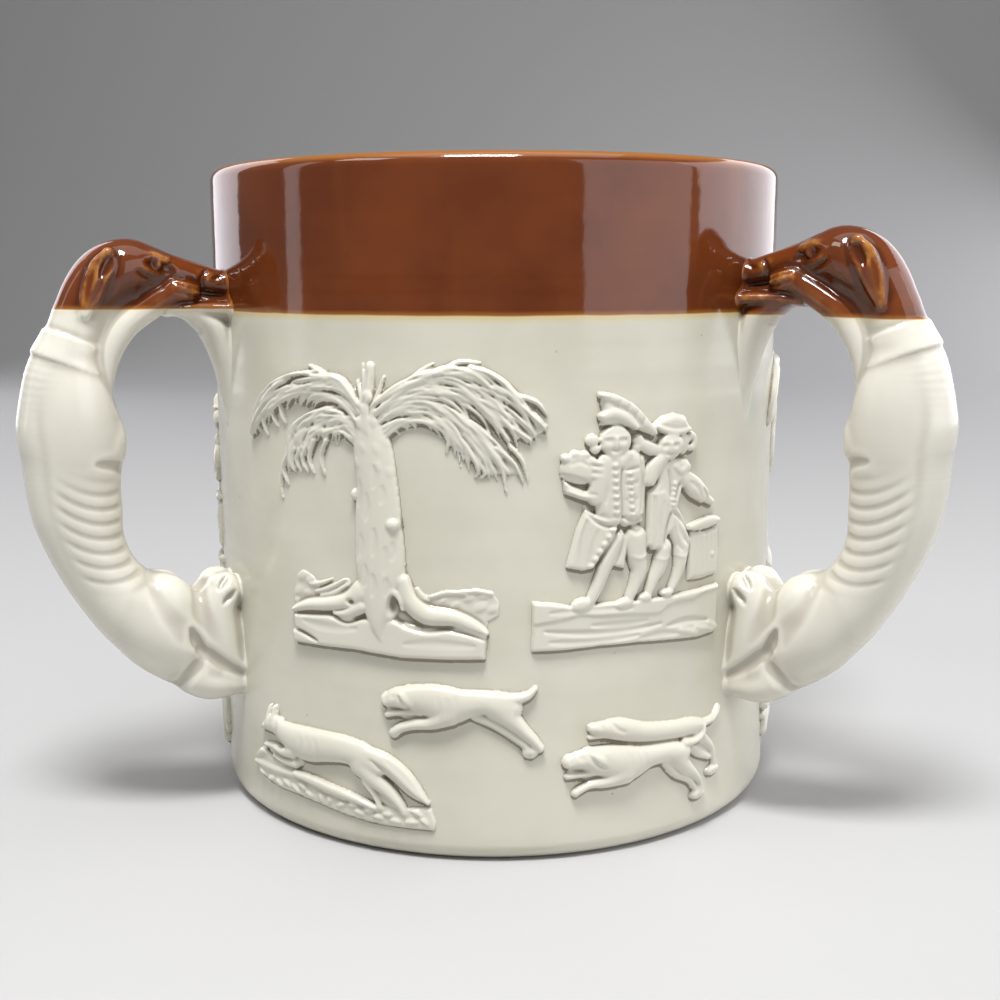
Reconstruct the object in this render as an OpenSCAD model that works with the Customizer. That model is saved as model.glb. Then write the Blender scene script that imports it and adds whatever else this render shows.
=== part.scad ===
// Three-handled loving cup in sprigged stoneware.
// A thrown cylinder carries three moulded hound handles and fifteen sprigs, which are
// reliefs pressed in moulds and stuck on with slip. The rim was dipped in brown.
// The origin is the middle of the foot, +Z is up and -Y is the front panel.

/* [Cup] */
// Outside diameter of the thrown body
cup_d = 150; // [148:1:180]
// Height from the foot to the rim
cup_h = 163; // [156:1:190]
// Thickness of the wall
wall_t = 6; // [4:0.5:9]
// Thickness of the floor, above the turned recess
floor_t = 8; // [5:0.5:12]
// Radius of the rounded outer edge of the foot
foot_round = 4.5; // [2:0.5:6]
// Width of the flat ring that the cup stands on
foot_ring_w = 12; // [8:1:20]
// Depth of the recess turned inside the foot ring
foot_recess = 1.5; // [0.5:0.5:3]
// Radius of the curve between wall and floor inside
inside_round = 8; // [4:1:14]
// Depth of the brown dip below the rim
dip_depth = 35.6; // [20:0.2:60]

/* [Handles] */
// Height of the handle's lowest point above the foot
handle_z = 29; // [20:1:36]
// How far the hound's back stands out from the wall
handle_reach = 51; // [47:1:61]
// Thickness of the hound at the chest, measured along the wall
handle_w = 22; // [18:1:26]
// Number of ribs that show on each side
rib_count = 8; // [0:1:12]
// Height of a rib above the hollows beside it
rib_relief = 0.7; // [0.2:0.1:1]
// Height of the collar above the neck
collar_relief = 0.9; // [0.4:0.1:1.6]

/* [Sprigs] */
// Height of the ground that the tree and the drinkers stand on
ground_z = 50; // [46:1:56]
// Height of the middle of the running hounds and the fox above the foot
hunt_z = 26; // [24:1:28]
// Height of the tree's and the drinkers' highest relief above the wall
scene_relief = 3.4; // [2.4:0.2:4.4]
// Height of the animals' highest relief above the wall
hunt_relief = 3.4; // [2.4:0.2:4.4]
// Thickness of the slip between the wall and what is stuck on it
slip_film = 0.14; // [0.1:0.02:0.3]

/* [Hidden] */

stone_buff = [0.80, 0.77, 0.67];
dip_brown = [0.36, 0.16, 0.06];
cup_r = cup_d / 2;
dip_z = cup_h - dip_depth;
rim_round = wall_t * 0.45;
// Turns of the three panels and of the handles between them, from +X
panel_front = -87.5;
panel_right = 32.5;
panel_left = 152.5;
handle_left = -150;
handle_right = -30;
handle_back = 90;
// The handles were set on by eye, the left one a little low and the right one a little high
left_lift = -1.1;
right_lift = 1.1;
// Sides of the round that seats the stuck-on pieces, whose flats stay clear of the wall
seat_sides = 60;
// How far a piece is drawn into the wall before its seat is cut
bed = 2;
leaf_bed = 0.7;

// Lofts: smooth stations, tangents and rings

function mix(a, b, t) = a + (b - a) * t;
function unit(v) = v / max(norm(v), 1e-6);

// A smooth value through the stations at position t, from 0 to len - 1
function smooth_at(st, t) =
    let (
        n = len(st) - 1,
        i = min(floor(t), n - 1),
        f = t - i,
        a = st[max(i - 1, 0)],
        b = st[i],
        c = st[i + 1],
        d = st[min(i + 2, n)]
    )
    0.5 * (2 * b + (c - a) * f + (2 * a - 5 * b + 4 * c - d) * f * f
        + (3 * b - a - 3 * c + d) * f * f * f);

// Direction in the plane at station i, from its neighbours
function way(st, i) =
    let (a = st[max(i - 1, 0)], b = st[min(i + 1, len(st) - 1)])
    unit([b[0] - a[0], b[1] - a[1]]);

// The same at any position along a smooth line
function smooth_way(st, t) =
    let (e = 0.05, a = smooth_at(st, max(t - e, 0)), b = smooth_at(st, min(t + e, len(st) - 1)))
    unit([b[0] - a[0], b[1] - a[1]]);

function backwards(list) = [for (i = [len(list) - 1 : -1 : 0]) list[i]];

// One solid through a row of rings that have the same number of points
module loft(rings) {
    sides = len(rings[0]);
    last = len(rings) - 1;
    first = rings[0];
    facing = cross(first[1] - first[0], first[2] - first[0]) * (rings[1][0] - first[0]);
    walls = [for (i = [0 : last - 1], k = [0 : sides - 1])
        let (a = i * sides + k, b = i * sides + (k + 1) % sides, c = b + sides, d = a + sides)
        each [[a, d, c], [a, c, b]]];
    start = [for (k = [0 : sides - 1]) k];
    end = [for (k = [sides - 1 : -1 : 0]) last * sides + k];
    faces = concat(walls, [start, end]);
    polyhedron(
        points = [for (ring = rings) each ring],
        faces = facing > 0 ? faces : [for (f = faces) backwards(f)]);
}

// One convex solid round a list of points
module wrap(points) {
    hull() polyhedron(points = points, faces = [[for (i = [0 : len(points) - 1]) i]]);
}

// Thrown body

module cup_profile() {
    inner_r = cup_r - wall_t;
    ring_r = cup_r - foot_round - foot_ring_w;
    floor_z = foot_recess + floor_t;
    difference() {
        union() {
            translate([0, foot_round]) square([cup_r, cup_h - foot_round - rim_round]);
            square([cup_r - foot_round, cup_h - rim_round]);
            translate([cup_r - foot_round, foot_round]) circle(foot_round, $fn = 64);
            translate([inner_r, 0]) square([wall_t - rim_round, cup_h]);
            translate([cup_r - rim_round, cup_h - rim_round]) circle(rim_round, $fn = 64);
        }
        translate([0, floor_z + inside_round]) square([inner_r, cup_h]);
        translate([0, floor_z]) square([inner_r - inside_round, cup_h]);
        translate([inner_r - inside_round, floor_z + inside_round]) circle(inside_round, $fn = 64);
        translate([inner_r, cup_h - rim_round]) lip_cut();
        square([ring_r, foot_recess]);
    }
}

// Rounds the inner edge of the rim
module lip_cut() {
    past = 1;
    difference() {
        translate([-past, 0]) square([past + rim_round, rim_round + past]);
        translate([rim_round, 0]) circle(rim_round, $fn = 64);
    }
}

module cup_body() {
    color(stone_buff) rotate_extrude($fn = 180) intersection() {
        cup_profile();
        square([cup_d, dip_z]);
    }
    color(dip_brown) rotate_extrude($fn = 180) intersection() {
        cup_profile();
        translate([0, dip_z]) square([cup_d, cup_h]);
    }
}

// The wall with its film of slip, to which every stuck-on piece is cut
module wall_seat() {
    translate([0, 0, -bed]) cylinder(r = cup_r + slip_film, h = cup_h + 2 * bed, $fn = seat_sides);
}

// Hound handle, with X out from the cup's axis, Y along the wall and Z up.
// A station is [out from the wall, up from the lowest point, half depth, half width].

reach_k = handle_reach / 51;
width_k = handle_w / 22;
torso_sides = 10;
head_sides = 10;
limb_sides = 6;
toe_sides = 4;

// Shoulders, chest and loin, from the collar to the rump against the wall
torso = [
    [35.5, 97.5, 5.6, 6.2], [37.1, 92, 7.3, 7.4], [39.2, 84, 9.4, 9], [38.9, 74, 12.1, 10.6],
    [38.2, 67, 12.3, 11], [38.5, 59, 11.3, 10.2], [37.8, 51, 10.7, 9.6], [36, 42.5, 9.3, 9],
    [32.3, 34.4, 8.8, 8.8], [26.5, 27, 9.8, 9.6], [18.8, 20.2, 11.2, 10], [12, 13.5, 9.8, 9],
    [6, 9, 6.4, 7.6], [-2, 5.5, 4.4, 6]
];
// Neck, skull and muzzle, from inside the collar to the nose on the wall
head = [
    [37, 89, 6, 6.4], [35.5, 97.5, 5.9, 6.6], [32.6, 103.8, 6.4, 7.2], [28.4, 108, 7.3, 7.8],
    [23.4, 110, 7.2, 7.6], [18.4, 109.8, 5.9, 6.6], [13, 109, 4.4, 5.3], [5, 107.2, 3.6, 4.6],
    [-2, 105.4, 2.8, 3.6]
];
// Places along the torso, counted in stations
collar_top = 0.5;
collar_foot = 1.2;
below_collar = 1.26;
first_rib = 4.2;
last_rib = 8.4;

// How far the collar and the ribs swell the torso at one place
function swell(t) =
    t <= collar_foot ? collar_relief
    : t < first_rib || t > last_rib ? 0
    : rib_relief / 2 * cos((t - first_rib) / (last_rib - first_rib) * 360 * rib_count);

function hound_point(out, along, up) = [cup_r + out * reach_k, along * width_k, handle_z + up];

// An oval ring of points square to the hound's back line
function oval_ring(s, dir, sides, raise = 0) =
    [for (k = [0 : sides - 1])
        let (deep = cos(360 * k / sides) * (s[2] + raise), wide = sin(360 * k / sides) * (s[3] + raise))
        hound_point(s[0] - dir[1] * deep, wide, s[1] + dir[0] * deep)];

module torso_and_collar() {
    rib_steps = max(2 * rib_count, 6);
    places = concat(
        [collar_top, collar_foot, below_collar, 2, 3],
        [for (i = [0 : rib_steps]) mix(first_rib, last_rib, i / rib_steps)],
        [9.2, 10, 11, 12, 13]);
    loft([for (t = places) oval_ring(smooth_at(torso, t), smooth_way(torso, t), torso_sides, swell(t))]);
}

module neck_and_head() {
    loft([for (i = [0 : len(head) - 1]) oval_ring(head[i], way(head, i), head_sides)]);
    // Folded ears, laid back from the crown towards the collar
    for (side = [-1, 1])
        limb([[25, 114, 1], [28.4, 108.8, 2.7], [33.4, 100.4, 0.6]], side * 7, 1.8);
    // Throat, closed against the forelegs
    knob([[32, 95.2, 4.6], [24, 101.4, 4.3], [13, 106, 2]], 0, 4.5);
}

// Rings of a limb beside the hound's middle plane. A station is [out, up, radius], and half is
// the limb's half thickness along the wall where it is thickest.
function limb_rings(st, along, half, sides = limb_sides) =
    let (thickest = max([for (s = st) s[2]]), step = 360 / sides)
    [for (i = [0 : len(st) - 1])
        let (dir = way(st, i), s = st[i])
        [for (k = [0 : sides - 1])
            let (deep = cos(step * k) * s[2], wide = sin(step * k) * half * s[2] / thickest)
            hound_point(s[0] - dir[1] * deep, along + wide, s[1] + dir[0] * deep)]];

module limb(st, along, half) {
    loft(limb_rings(st, along, half));
}

module knob(st, along, half, sides = limb_sides) {
    wrap([for (ring = limb_rings(st, along, half, sides)) each ring]);
}

module forelegs() {
    for (side = [-1, 1])
        limb([[32.6, 70, 3], [31.4, 81, 3.5], [28, 91.4, 3.2], [18.5, 98.6, 3]],
            side * 2.9, 3.3);
}

module forepaws() {
    for (side = [-1, 1])
        knob([[20, 97.6, 2.4], [13.6, 101.8, 3.5], [9, 101.8, 2]], side * 2.9, 3.4);
}

module hindlegs() {
    for (side = [-1, 1]) {
        // Thigh, folded over the flank
        limb([[31, 31, 2], [24, 26.6, 9.4], [16, 21.8, 11], [7, 15, 5]], side * 4.6, 6.6);
        // Hind foot, flat on the wall from the hock up to the toes
        limb([[9, 1.4, 2.4], [5.6, 6, 4.8], [4.2, 26, 4.9], [4.4, 32, 3.2]], side * 5.2, 4.4);
        for (toe = [-1, 0, 1])
            knob([[6, 26.4, 2.4], [5.2, 33.4, 1.6]], side * 5.2 + toe * 2.6, 1.7, toe_sides);
    }
}

// One level of the strap that joins the paws to the wall, [out, up, half width]
function strap_ring(s) =
    [for (out = [-bed, s[0]], along = [-s[2], s[2]]) hound_point(out, along, s[1])];

module strap_top() {
    wrap(concat(strap_ring([12, 102.4, 6]), strap_ring([15, 100.6, 6.4]), strap_ring([14, 98, 6.6])));
}

// Clay drawn down from the strap to a point where it was smoothed on
module strap_tongue() {
    tongue = [[13.4, 98.6, 6], [7, 94.6, 6.8], [3, 85, 4.6], [1.2, 75, 1.6]];
    for (i = [0 : len(tongue) - 2]) wrap(concat(strap_ring(tongue[i]), strap_ring(tongue[i + 1])));
}

module hound_handle(turn, lift = 0) {
    rotate(turn) translate([0, 0, lift]) difference() {
        union() {
            color(dip_brown) {
                neck_and_head();
                forepaws();
                strap_top();
            }
            color(stone_buff) {
                torso_and_collar();
                forelegs();
                hindlegs();
                strap_tongue();
            }
        }
        wall_seat();
    }
}

module hound_handle_left() hound_handle(handle_left, left_lift);
module hound_handle_right() hound_handle(handle_right, right_lift);
module hound_handle_back() hound_handle(handle_back);

// Sprigs, drawn flat in millimetres along the wall and up it, then bent round it.
// A station is [along, up, half width, relief], with the relief as a share of the highest.

// Share of the drawn length that a sprig takes up along the wall
sprig_k = 0.966;

// A point at a place along the wall, moved across its tangent and out from the wall
function on_wall(along, across, out, up) =
    let (a = along * sprig_k / cup_r * 180 / PI, r = cup_r + out)
    [r * cos(a) - across * sin(a), r * sin(a) + across * cos(a), up];

// Half-round section for bodies, a flat one for the ground and a ridge for legs and leaves
body_section = [[-1, -bed], [-0.85, 0.6], [0, 1], [0.85, 0.6], [1, -bed]];
slab_section = [[-1, -bed], [-0.95, 1], [0.95, 1], [1, -bed]];
ridge_section = [[-1, -leaf_bed], [0, 1], [1, -leaf_bed]];

// Rings of a stroke of the relief. A section point is [across, out], with out below zero in
// millimetres into the wall and above it as a share of the station's relief.
function stroke_rings(st, section, place, relief) =
    [for (i = [0 : len(st) - 1])
        let (dir = way(st, i), s = st[i])
        [for (p = section)
            on_wall(place[0] + s[0], -dir[1] * p[0] * s[2],
                p[1] < 0 ? p[1] : p[1] * s[3] * relief,
                place[1] + s[1] + dir[0] * p[0] * s[2])]];

module ridge(st, place, relief) {
    rings = stroke_rings(st, ridge_section, place, relief);
    for (i = [0 : len(rings) - 2]) wrap(concat(rings[i], rings[i + 1]));
}

module sprig(bodies, ridges, slabs, place, relief, turn) {
    color(stone_buff) rotate(turn) difference() {
        union() {
            for (st = bodies) loft(stroke_rings(st, body_section, place, relief));
            for (st = slabs) loft(stroke_rings(st, slab_section, place, relief));
            for (st = ridges) ridge(st, place, relief);
        }
        wall_seat();
    }
}

// Palm tree on its bank, drawn about the middle of the bank's lower edge
tree_along = -25.4;
tree_trunk = [
    [[1, 5, 2.6, 0.8], [0, 11, 5.4, 0.92], [-0.2, 34, 6, 0.95], [-1.2, 44, 4.4, 0.9], [-2, 59, 2.2, 0.7],
        [-2, 67, 0.4, 0.3]],
    [[2.4, 30.8, 0.8, 1], [4.6, 31, 2, 1.15], [6.6, 31, 0.8, 0.9]]
];
tree_leaves = [
    // Fronds to the left, the highest first
    [[-2, 54, 1.8, 0.8], [-8, 61.4, 3, 0.75], [-18, 63.6, 3.6, 0.75], [-31, 60, 3.2, 0.65], [-42.8, 48.4, 0.5, 0.35]],
    [[-2, 51, 1.6, 0.8], [-12, 57.6, 2.8, 0.65], [-30.4, 50, 0.8, 0.4]],
    [[-2, 46, 1.6, 0.8], [-10, 52.8, 2.4, 0.6], [-22.4, 49.4, 3.4, 0.55], [-29.4, 35.2, 0.5, 0.35]],
    // Fronds to the right
    [[-1, 55, 1.8, 0.8], [7, 62, 3, 0.75], [19, 65, 3.6, 0.75], [32, 61, 3.2, 0.65], [40.6, 52.6, 0.5, 0.35]],
    [[-1, 51, 1.8, 0.8], [10, 59.4, 3, 0.7], [26, 55, 3.4, 0.6], [34.6, 40.2, 0.6, 0.4]],
    [[-1, 48, 1.6, 0.8], [12, 55.2, 2.4, 0.6], [26.6, 42.6, 0.6, 0.4]],
    [[0, 54, 1.6, 0.75], [2.6, 65.4, 0.4, 0.3]],
    // Roots
    [[-1, 15, 3, 0.95], [-9, 9.6, 2.6, 0.85], [-25.4, 7.4, 1.6, 0.6]],
    [[2, 17, 2.6, 0.95], [6, 9.6, 2.6, 0.9], [16, 8.4, 2.2, 0.75], [24.4, 6, 1.6, 0.6]]
];
tree_bank = [
    [[-26, 3.6, 3.4, 0.55], [-9, 4, 4, 0.6], [9, 4.2, 4.2, 0.6], [26, 4.1, 4, 0.55]],
    [[-25.6, 11, 4, 0.35], [-9, 10.5, 3.2, 0.4], [9, 10.5, 3.2, 0.4], [27, 10.6, 4, 0.35]]
];

module palm_tree(turn) {
    sprig(tree_trunk, tree_leaves, tree_bank, [tree_along, ground_z], scene_relief, turn);
}

module palm_tree_front() palm_tree(panel_front);
module palm_tree_right() palm_tree(panel_right);
module palm_tree_left() palm_tree(panel_left);

// Two drinkers arm in arm with a keg, drawn about the middle of the ground's lower edge
drinkers_along = 37.6;
drinkers_bodies = [
    // Cocked hat, then the first from crown to hem, and the skirt of the coat
    [[-10.8, 60, 0.9, 0.8], [-6, 57.8, 2.8, 0.95], [-1.6, 55, 2.6, 0.95], [3.4, 51.6, 0.9, 0.7]],
    [[-7, 57, 3.4, 0.85], [-6.8, 51, 4.2, 0.95], [-6.4, 47, 2.8, 0.8], [-6.4, 44, 6.2, 0.88], [-6.6, 36, 6.6, 0.95],
        [-7.4, 27, 6, 0.85]],
    [[-10, 34, 4, 0.8], [-13.4, 26, 5, 0.72], [-14.8, 20.4, 4.4, 0.6]],
    // Jug held at the shoulder
    [[-17.2, 37, 2.6, 0.7], [-16.4, 42.4, 4.2, 0.9], [-15.4, 47.4, 2.4, 0.65]],
    // The second from cap to hem, and the arm that rests on the keg
    [[8.4, 55.4, 3, 0.75], [8.2, 52.4, 4.2, 0.85], [8, 48, 3.4, 0.85], [8.4, 45, 2.6, 0.7], [7.8, 41, 5.4, 0.85],
        [8.4, 26.6, 4.6, 0.78]],
    [[11, 42.6, 2, 0.7], [16, 37, 2.8, 0.85], [22.8, 32.2, 1.2, 0.55]]
];
drinkers_limbs = [
    // Legs, sleeve and far arm of the first
    [[-8.6, 28, 3.2, 0.85], [-12.4, 15, 2.8, 0.75], [-18, 11, 2.4, 0.75]],
    [[-4, 28, 4.4, 0.85], [-1.6, 20, 4, 0.85], [-4.4, 9.6, 2.6, 0.65]],
    [[-8.6, 44, 3, 0.95], [-14.6, 38.4, 3, 0.95], [-18.4, 36.6, 1.8, 0.65]],
    [[-1, 47, 2.8, 0.85], [7, 45, 2.4, 0.85]],
    // Raised arm, coat front, legs and queue of the second
    [[2.4, 38.6, 2, 0.8], [4.4, 41.6, 2.8, 0.95], [8, 46.6, 2, 0.9]],
    [[4, 37, 2.8, 0.85], [3.6, 24.2, 3, 0.75]],
    [[7, 29, 3.6, 0.85], [6, 21, 3.4, 0.85], [3, 9.6, 2.4, 0.65]],
    [[10.4, 29, 3.6, 0.85], [12.4, 21.4, 3, 0.85], [9.8, 9.6, 2.2, 0.65]],
    [[9.6, 46.6, 1.6, 0.75], [14.6, 47.2, 2, 0.65], [16.4, 50.4, 1.2, 0.5]]
];
drinkers_ground = [
    [[-27, 6.6, 6.2, 0.5], [-9, 5.8, 5.2, 0.56], [9, 5.6, 5.2, 0.56], [26.4, 6, 6, 0.5]],
    // Keg with its lid
    [[20.6, 8, 5.6, 0.42], [20.6, 27, 5.6, 0.42]],
    [[20.2, 26.2, 5.6, 0.6], [20.2, 29.6, 5, 0.56]]
];

module drinkers(turn) {
    sprig(drinkers_bodies, drinkers_limbs, drinkers_ground, [drinkers_along, ground_z], scene_relief, turn);
}

module drinkers_front() drinkers(panel_front);
module drinkers_right() drinkers(panel_right);
module drinkers_left() drinkers(panel_left);

// Running hound, drawn about its middle
hound_bodies = [
    [[-13.4, 1.6, 3.2, 0.8], [-6, 0.5, 4.3, 1], [5, 1.2, 3.1, 0.85], [11, 0.4, 3.5, 0.9], [15, -2, 2, 0.75]],
    [[-10.4, 1.8, 3, 0.85], [-14.6, 1.8, 3.4, 0.95], [-19.8, -0.9, 1.5, 0.7]]
];
hound_legs = [
    [[-14.6, 3.2, 0.8, 1], [-12, 0.6, 1.6, 1.05], [-11.2, -0.6, 0.6, 0.9]],
    [[-5, -1.6, 3, 0.9], [-11, -4, 2.2, 0.75], [-15, -5.6, 1.8, 0.65], [-18, -7.2, 1.4, 0.5]],
    [[-6, -1.2, 1.4, 0.6], [-18.8, -2.6, 1, 0.5]],
    [[12, -0.6, 3.6, 0.95], [15, -4.4, 2.8, 0.8], [17.8, -8.4, 2, 0.7], [16.6, -12.2, 1.6, 0.5]],
    [[9, -1, 1.8, 0.65], [17, -9, 1, 0.45]],
    [[10, 3, 1.8, 0.8], [15, 3, 1.5, 0.7], [19, 6, 0.4, 0.35]]
];

module hound(along, up, turn) {
    sprig(hound_bodies, hound_legs, [], [along, hunt_z + up], hunt_relief, turn);
}

single_along = -6.4;
single_up = 12.6;
module hound_front() hound(single_along, single_up, panel_front);
module hound_right() hound(single_along, single_up, panel_right);
module hound_left() hound(single_along, single_up, panel_left);

// Two hounds running side by side, the far one higher, drawn about their middle
pair_along = 42.6;
pair_up = -4.4;
pair_bodies = [
    [[-16.6, 3.4, 3, 0.75], [-9, 2.8, 4.1, 1], [3, 2.4, 3.2, 0.85], [10, 0.8, 3.5, 0.9], [13, -1.6, 2, 0.75]],
    [[-13.2, 3.4, 2.7, 0.8], [-18, 3.8, 3.2, 0.95], [-24.6, 1.4, 1.4, 0.7]],
    [[-17.8, 9.8, 1.1, 0.5], [-13.6, 10.4, 2.4, 0.7], [-3, 8.8, 2.4, 0.7], [9, 7.4, 2.6, 0.65], [16.4, 6.6, 1.2, 0.5]]
];
pair_legs = [
    [[-18, 5, 0.8, 1], [-15.6, 2.6, 1.6, 1.05], [-14.8, 1.4, 0.6, 0.9]],
    [[-9, 0.6, 3, 0.9], [-16, -2.6, 2.1, 0.75], [-20, -3.8, 1.8, 0.65], [-22, -5.8, 1.4, 0.5]],
    [[-9, 0, 1.4, 0.6], [-24.4, -1, 1, 0.5]],
    [[10, 0.4, 3.6, 0.95], [12.6, -4.6, 2.6, 0.8], [16, -10, 2.2, 0.7], [13.6, -12.8, 1.6, 0.5]],
    [[6, -0.8, 1.8, 0.65], [15, -9.4, 1, 0.45]],
    [[10, 3, 1.8, 0.8], [15, 3.4, 1.4, 0.7], [17.2, 5.8, 0.4, 0.5]],
    [[14, 6.4, 1.6, 0.6], [20, 5.8, 1.4, 0.6], [24.2, 9.6, 0.4, 0.35]],
    [[12, 4, 2.6, 0.6], [22.4, -3, 2, 0.6], [19.2, -7.6, 1.4, 0.45]]
];

module hound_pair(turn) {
    sprig(pair_bodies, pair_legs, [], [pair_along, hunt_z + pair_up], hunt_relief, turn);
}

module hound_pair_front() hound_pair(panel_front);
module hound_pair_right() hound_pair(panel_right);
module hound_pair_left() hound_pair(panel_left);

// Fox on a leafy bank, drawn about its middle
fox_along = -41.4;
fox_up = -7.2;
fox_bodies = [
    [[-17, 8.2, 2.4, 0.75], [-10, 7, 3.8, 0.95], [-3, 6.2, 4, 1], [4, 6.8, 3.4, 0.9], [10, 6, 3.2, 0.9],
        [15, 3, 2.4, 0.8]],
    [[-16, 8.6, 2.2, 0.8], [-20, 8.6, 2.7, 0.9], [-23.6, 6.8, 1.5, 0.75], [-25.8, 5.8, 0.6, 0.5]],
    [[12, 7.6, 1.4, 0.8], [18, 4.8, 2.2, 0.9], [23, 0.5, 2.3, 0.9], [28.2, -4.8, 0.5, 0.5]]
];
fox_legs = [
    [[-21, 9, 1.3, 0.9], [-21.2, 13.2, 0.3, 0.5]],
    [[-19, 9.6, 1.4, 0.9], [-19, 13.6, 0.3, 0.5]],
    [[-11, 4.6, 2.6, 0.8], [-16, 2.4, 1.6, 0.75], [-23.8, 1.2, 1, 0.55]],
    [[-9, 3.4, 2.4, 0.8], [-16, -0.4, 1.4, 0.7], [-22.4, -1.4, 1, 0.55]],
    [[13, 4.4, 3.4, 0.95], [16, -0.4, 2.4, 0.85], [21.6, -7, 1, 0.55]],
    [[10, 3.4, 2.2, 0.7], [14, -3, 1.3, 0.65], [16, -7, 1, 0.5]]
];
fox_bank = [
    [[-30, -4.8, 0.8, 0.3], [-23, -2.6, 4.4, 0.4], [-11, -4, 4, 0.45], [-1, -5.4, 3.8, 0.45], [9, -7, 3, 0.4],
        [19, -8, 2.2, 0.4], [29, -7.6, 2.4, 0.35]]
];

module fox_front() {
    sprig(fox_bodies, fox_legs, fox_bank, [fox_along, hunt_z + fox_up], hunt_relief, panel_front);
}

// On the other panels a last hound runs where the front one has the fox
last_along = -44;
last_up = -5;
module last_hound_right() hound(last_along, last_up, panel_right);
module last_hound_left() hound(last_along, last_up, panel_left);

cup_body();
hound_handle_left();
hound_handle_right();
hound_handle_back();
palm_tree_front();
palm_tree_right();
palm_tree_left();
drinkers_front();
drinkers_right();
drinkers_left();
hound_front();
hound_right();
hound_left();
hound_pair_front();
hound_pair_right();
hound_pair_left();
fox_front();
last_hound_right();
last_hound_left();
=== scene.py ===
import math

import bmesh
import bpy
import numpy as np
from mathutils import Matrix, Vector


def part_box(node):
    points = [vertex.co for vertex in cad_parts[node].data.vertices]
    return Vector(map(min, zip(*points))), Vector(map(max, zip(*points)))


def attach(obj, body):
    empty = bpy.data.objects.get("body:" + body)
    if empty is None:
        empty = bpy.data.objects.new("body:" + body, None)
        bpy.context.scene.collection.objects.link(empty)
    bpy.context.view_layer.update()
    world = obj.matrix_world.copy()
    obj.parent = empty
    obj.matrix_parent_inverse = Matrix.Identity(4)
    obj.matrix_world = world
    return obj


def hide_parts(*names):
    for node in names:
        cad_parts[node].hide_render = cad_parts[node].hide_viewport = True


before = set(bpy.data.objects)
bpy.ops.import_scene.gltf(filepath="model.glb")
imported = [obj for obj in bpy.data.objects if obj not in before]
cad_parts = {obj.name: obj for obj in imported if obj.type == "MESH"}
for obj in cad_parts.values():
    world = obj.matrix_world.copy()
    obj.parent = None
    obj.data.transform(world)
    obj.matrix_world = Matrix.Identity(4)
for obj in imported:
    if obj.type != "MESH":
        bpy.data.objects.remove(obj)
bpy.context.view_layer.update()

MM = 0.001
cup_low, cup_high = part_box("cup_body")
CUP_R = (cup_high.x - cup_low.x) / 2 / MM
CUP_H = cup_high.z / MM
# Thrown body: wall, floor, the curve between them, and the foot with its flat ring and recess
WALL = 6.0
FLOOR_Z = 9.5
INSIDE_ROUND = 8.0
FOOT_ROUND = 4.5
FOOT_RING = 12.0
RING_ROUND = 0.6
RECESS = 1.5
# Height of the line that the brown dip reaches down to
DIP_Z = 127.4
# Angles of the front panel and of the right handle round the cup, and the step to the next
FRONT_TURN = -87.5
HANDLE_TURN = -30.0
THIRD = 120.0
# The handles were set on by eye, the right one a little high and the left one a little low
HANDLE_LIFTS = {"right": 1.1, "back": 0.0, "left": -1.1}
# Places along the wall were read from the camera's own middle line, a little right of the panel's
SPRIG_SHIFT = 2.9
# Heights were read on the wall's face, and a sprig stands a little nearer
SPRIG_LOWER = 0.6
# The last hound comes from the single hound's mould, further left and lower
LAST_ALONG = -36.3
LAST_DROP = -17.6
# Sides of the turned body, and spacing of the points that shape the sprigs, the drinkers and the handles
CUP_SIDES = 360
SPRIG_STEP = 0.26
FIGURE_STEP = 0.22
HOUND_STEP = 0.46
# Share of the drawn height that a sprig keeps once pressed on, less for the worn drinkers
RELIEF_SHARE = 0.82
DRINKERS_SHARE = 0.7
# Height above which clay counts as raised, and the least that a groove leaves of it
SKIN = 0.12
LEAST_CLAY = 0.2
# Softness of the fillet where one lump of clay meets another
FILLET = 0.3
# Width and height of the glaze that pools under a sprig, where a painted shadow line is laid as well
FILM_AND_SHADOW_WIDTH = 1.0
FILM_HEIGHT = 0.13
# How far the rim of a sprig and its back reach into the wall
SUNK = 0.35
BACK = 0.8
# How far the slip round a handle's joint and the handle itself reach into the wall
SLIP = 0.12
HANDLE_SUNK = 0.7
# Distance given to a place of the handle that joins two others that touch at a corner
JUST_INSIDE = -0.02


# Lines and profiles

def smooth_step(low, high, x):
    t = np.clip((x - low) / (high - low), 0, 1)
    return t * t * (3 - 2 * t)


def smooth_line(stations, per_span):
    """A curve through stations, with every column of a station made smooth."""
    p = np.asarray(stations, float)
    last = len(p) - 1
    t = np.linspace(0, 1, per_span, endpoint=False)[:, None]
    out = []
    for i in range(last):
        a, b, c, d = p[max(i - 1, 0)], p[i], p[i + 1], p[min(i + 2, last)]
        bend = 2 * a - 5 * b + 4 * c - d
        twist = 3 * b - a - 3 * c + d
        out.append(0.5 * (2 * b + (c - a) * t + bend * t**2 + twist * t**3))
    out.append(p[-1:])
    return np.vstack(out)


def nearest(line, x, y):
    """Distance from each place to a line, and the line's further columns at the nearest point."""
    best = np.full(x.shape, np.inf)
    values = [np.zeros(x.shape) for _ in range(line.shape[1] - 2)]
    for a, b in zip(line[:-1], line[1:]):
        run = b[:2] - a[:2]
        length = max(run @ run, 1e-9)
        t = np.clip(((x - a[0]) * run[0] + (y - a[1]) * run[1]) / length, 0, 1)
        away_x = x - a[0] - t * run[0]
        away_y = y - a[1] - t * run[1]
        square = away_x**2 + away_y**2
        closer = square < best
        best = np.where(closer, square, best)
        for k, column in enumerate(values):
            values[k] = np.where(closer, a[2 + k] + t * (b[2 + k] - a[2 + k]), column)
    return np.sqrt(best), values


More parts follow.
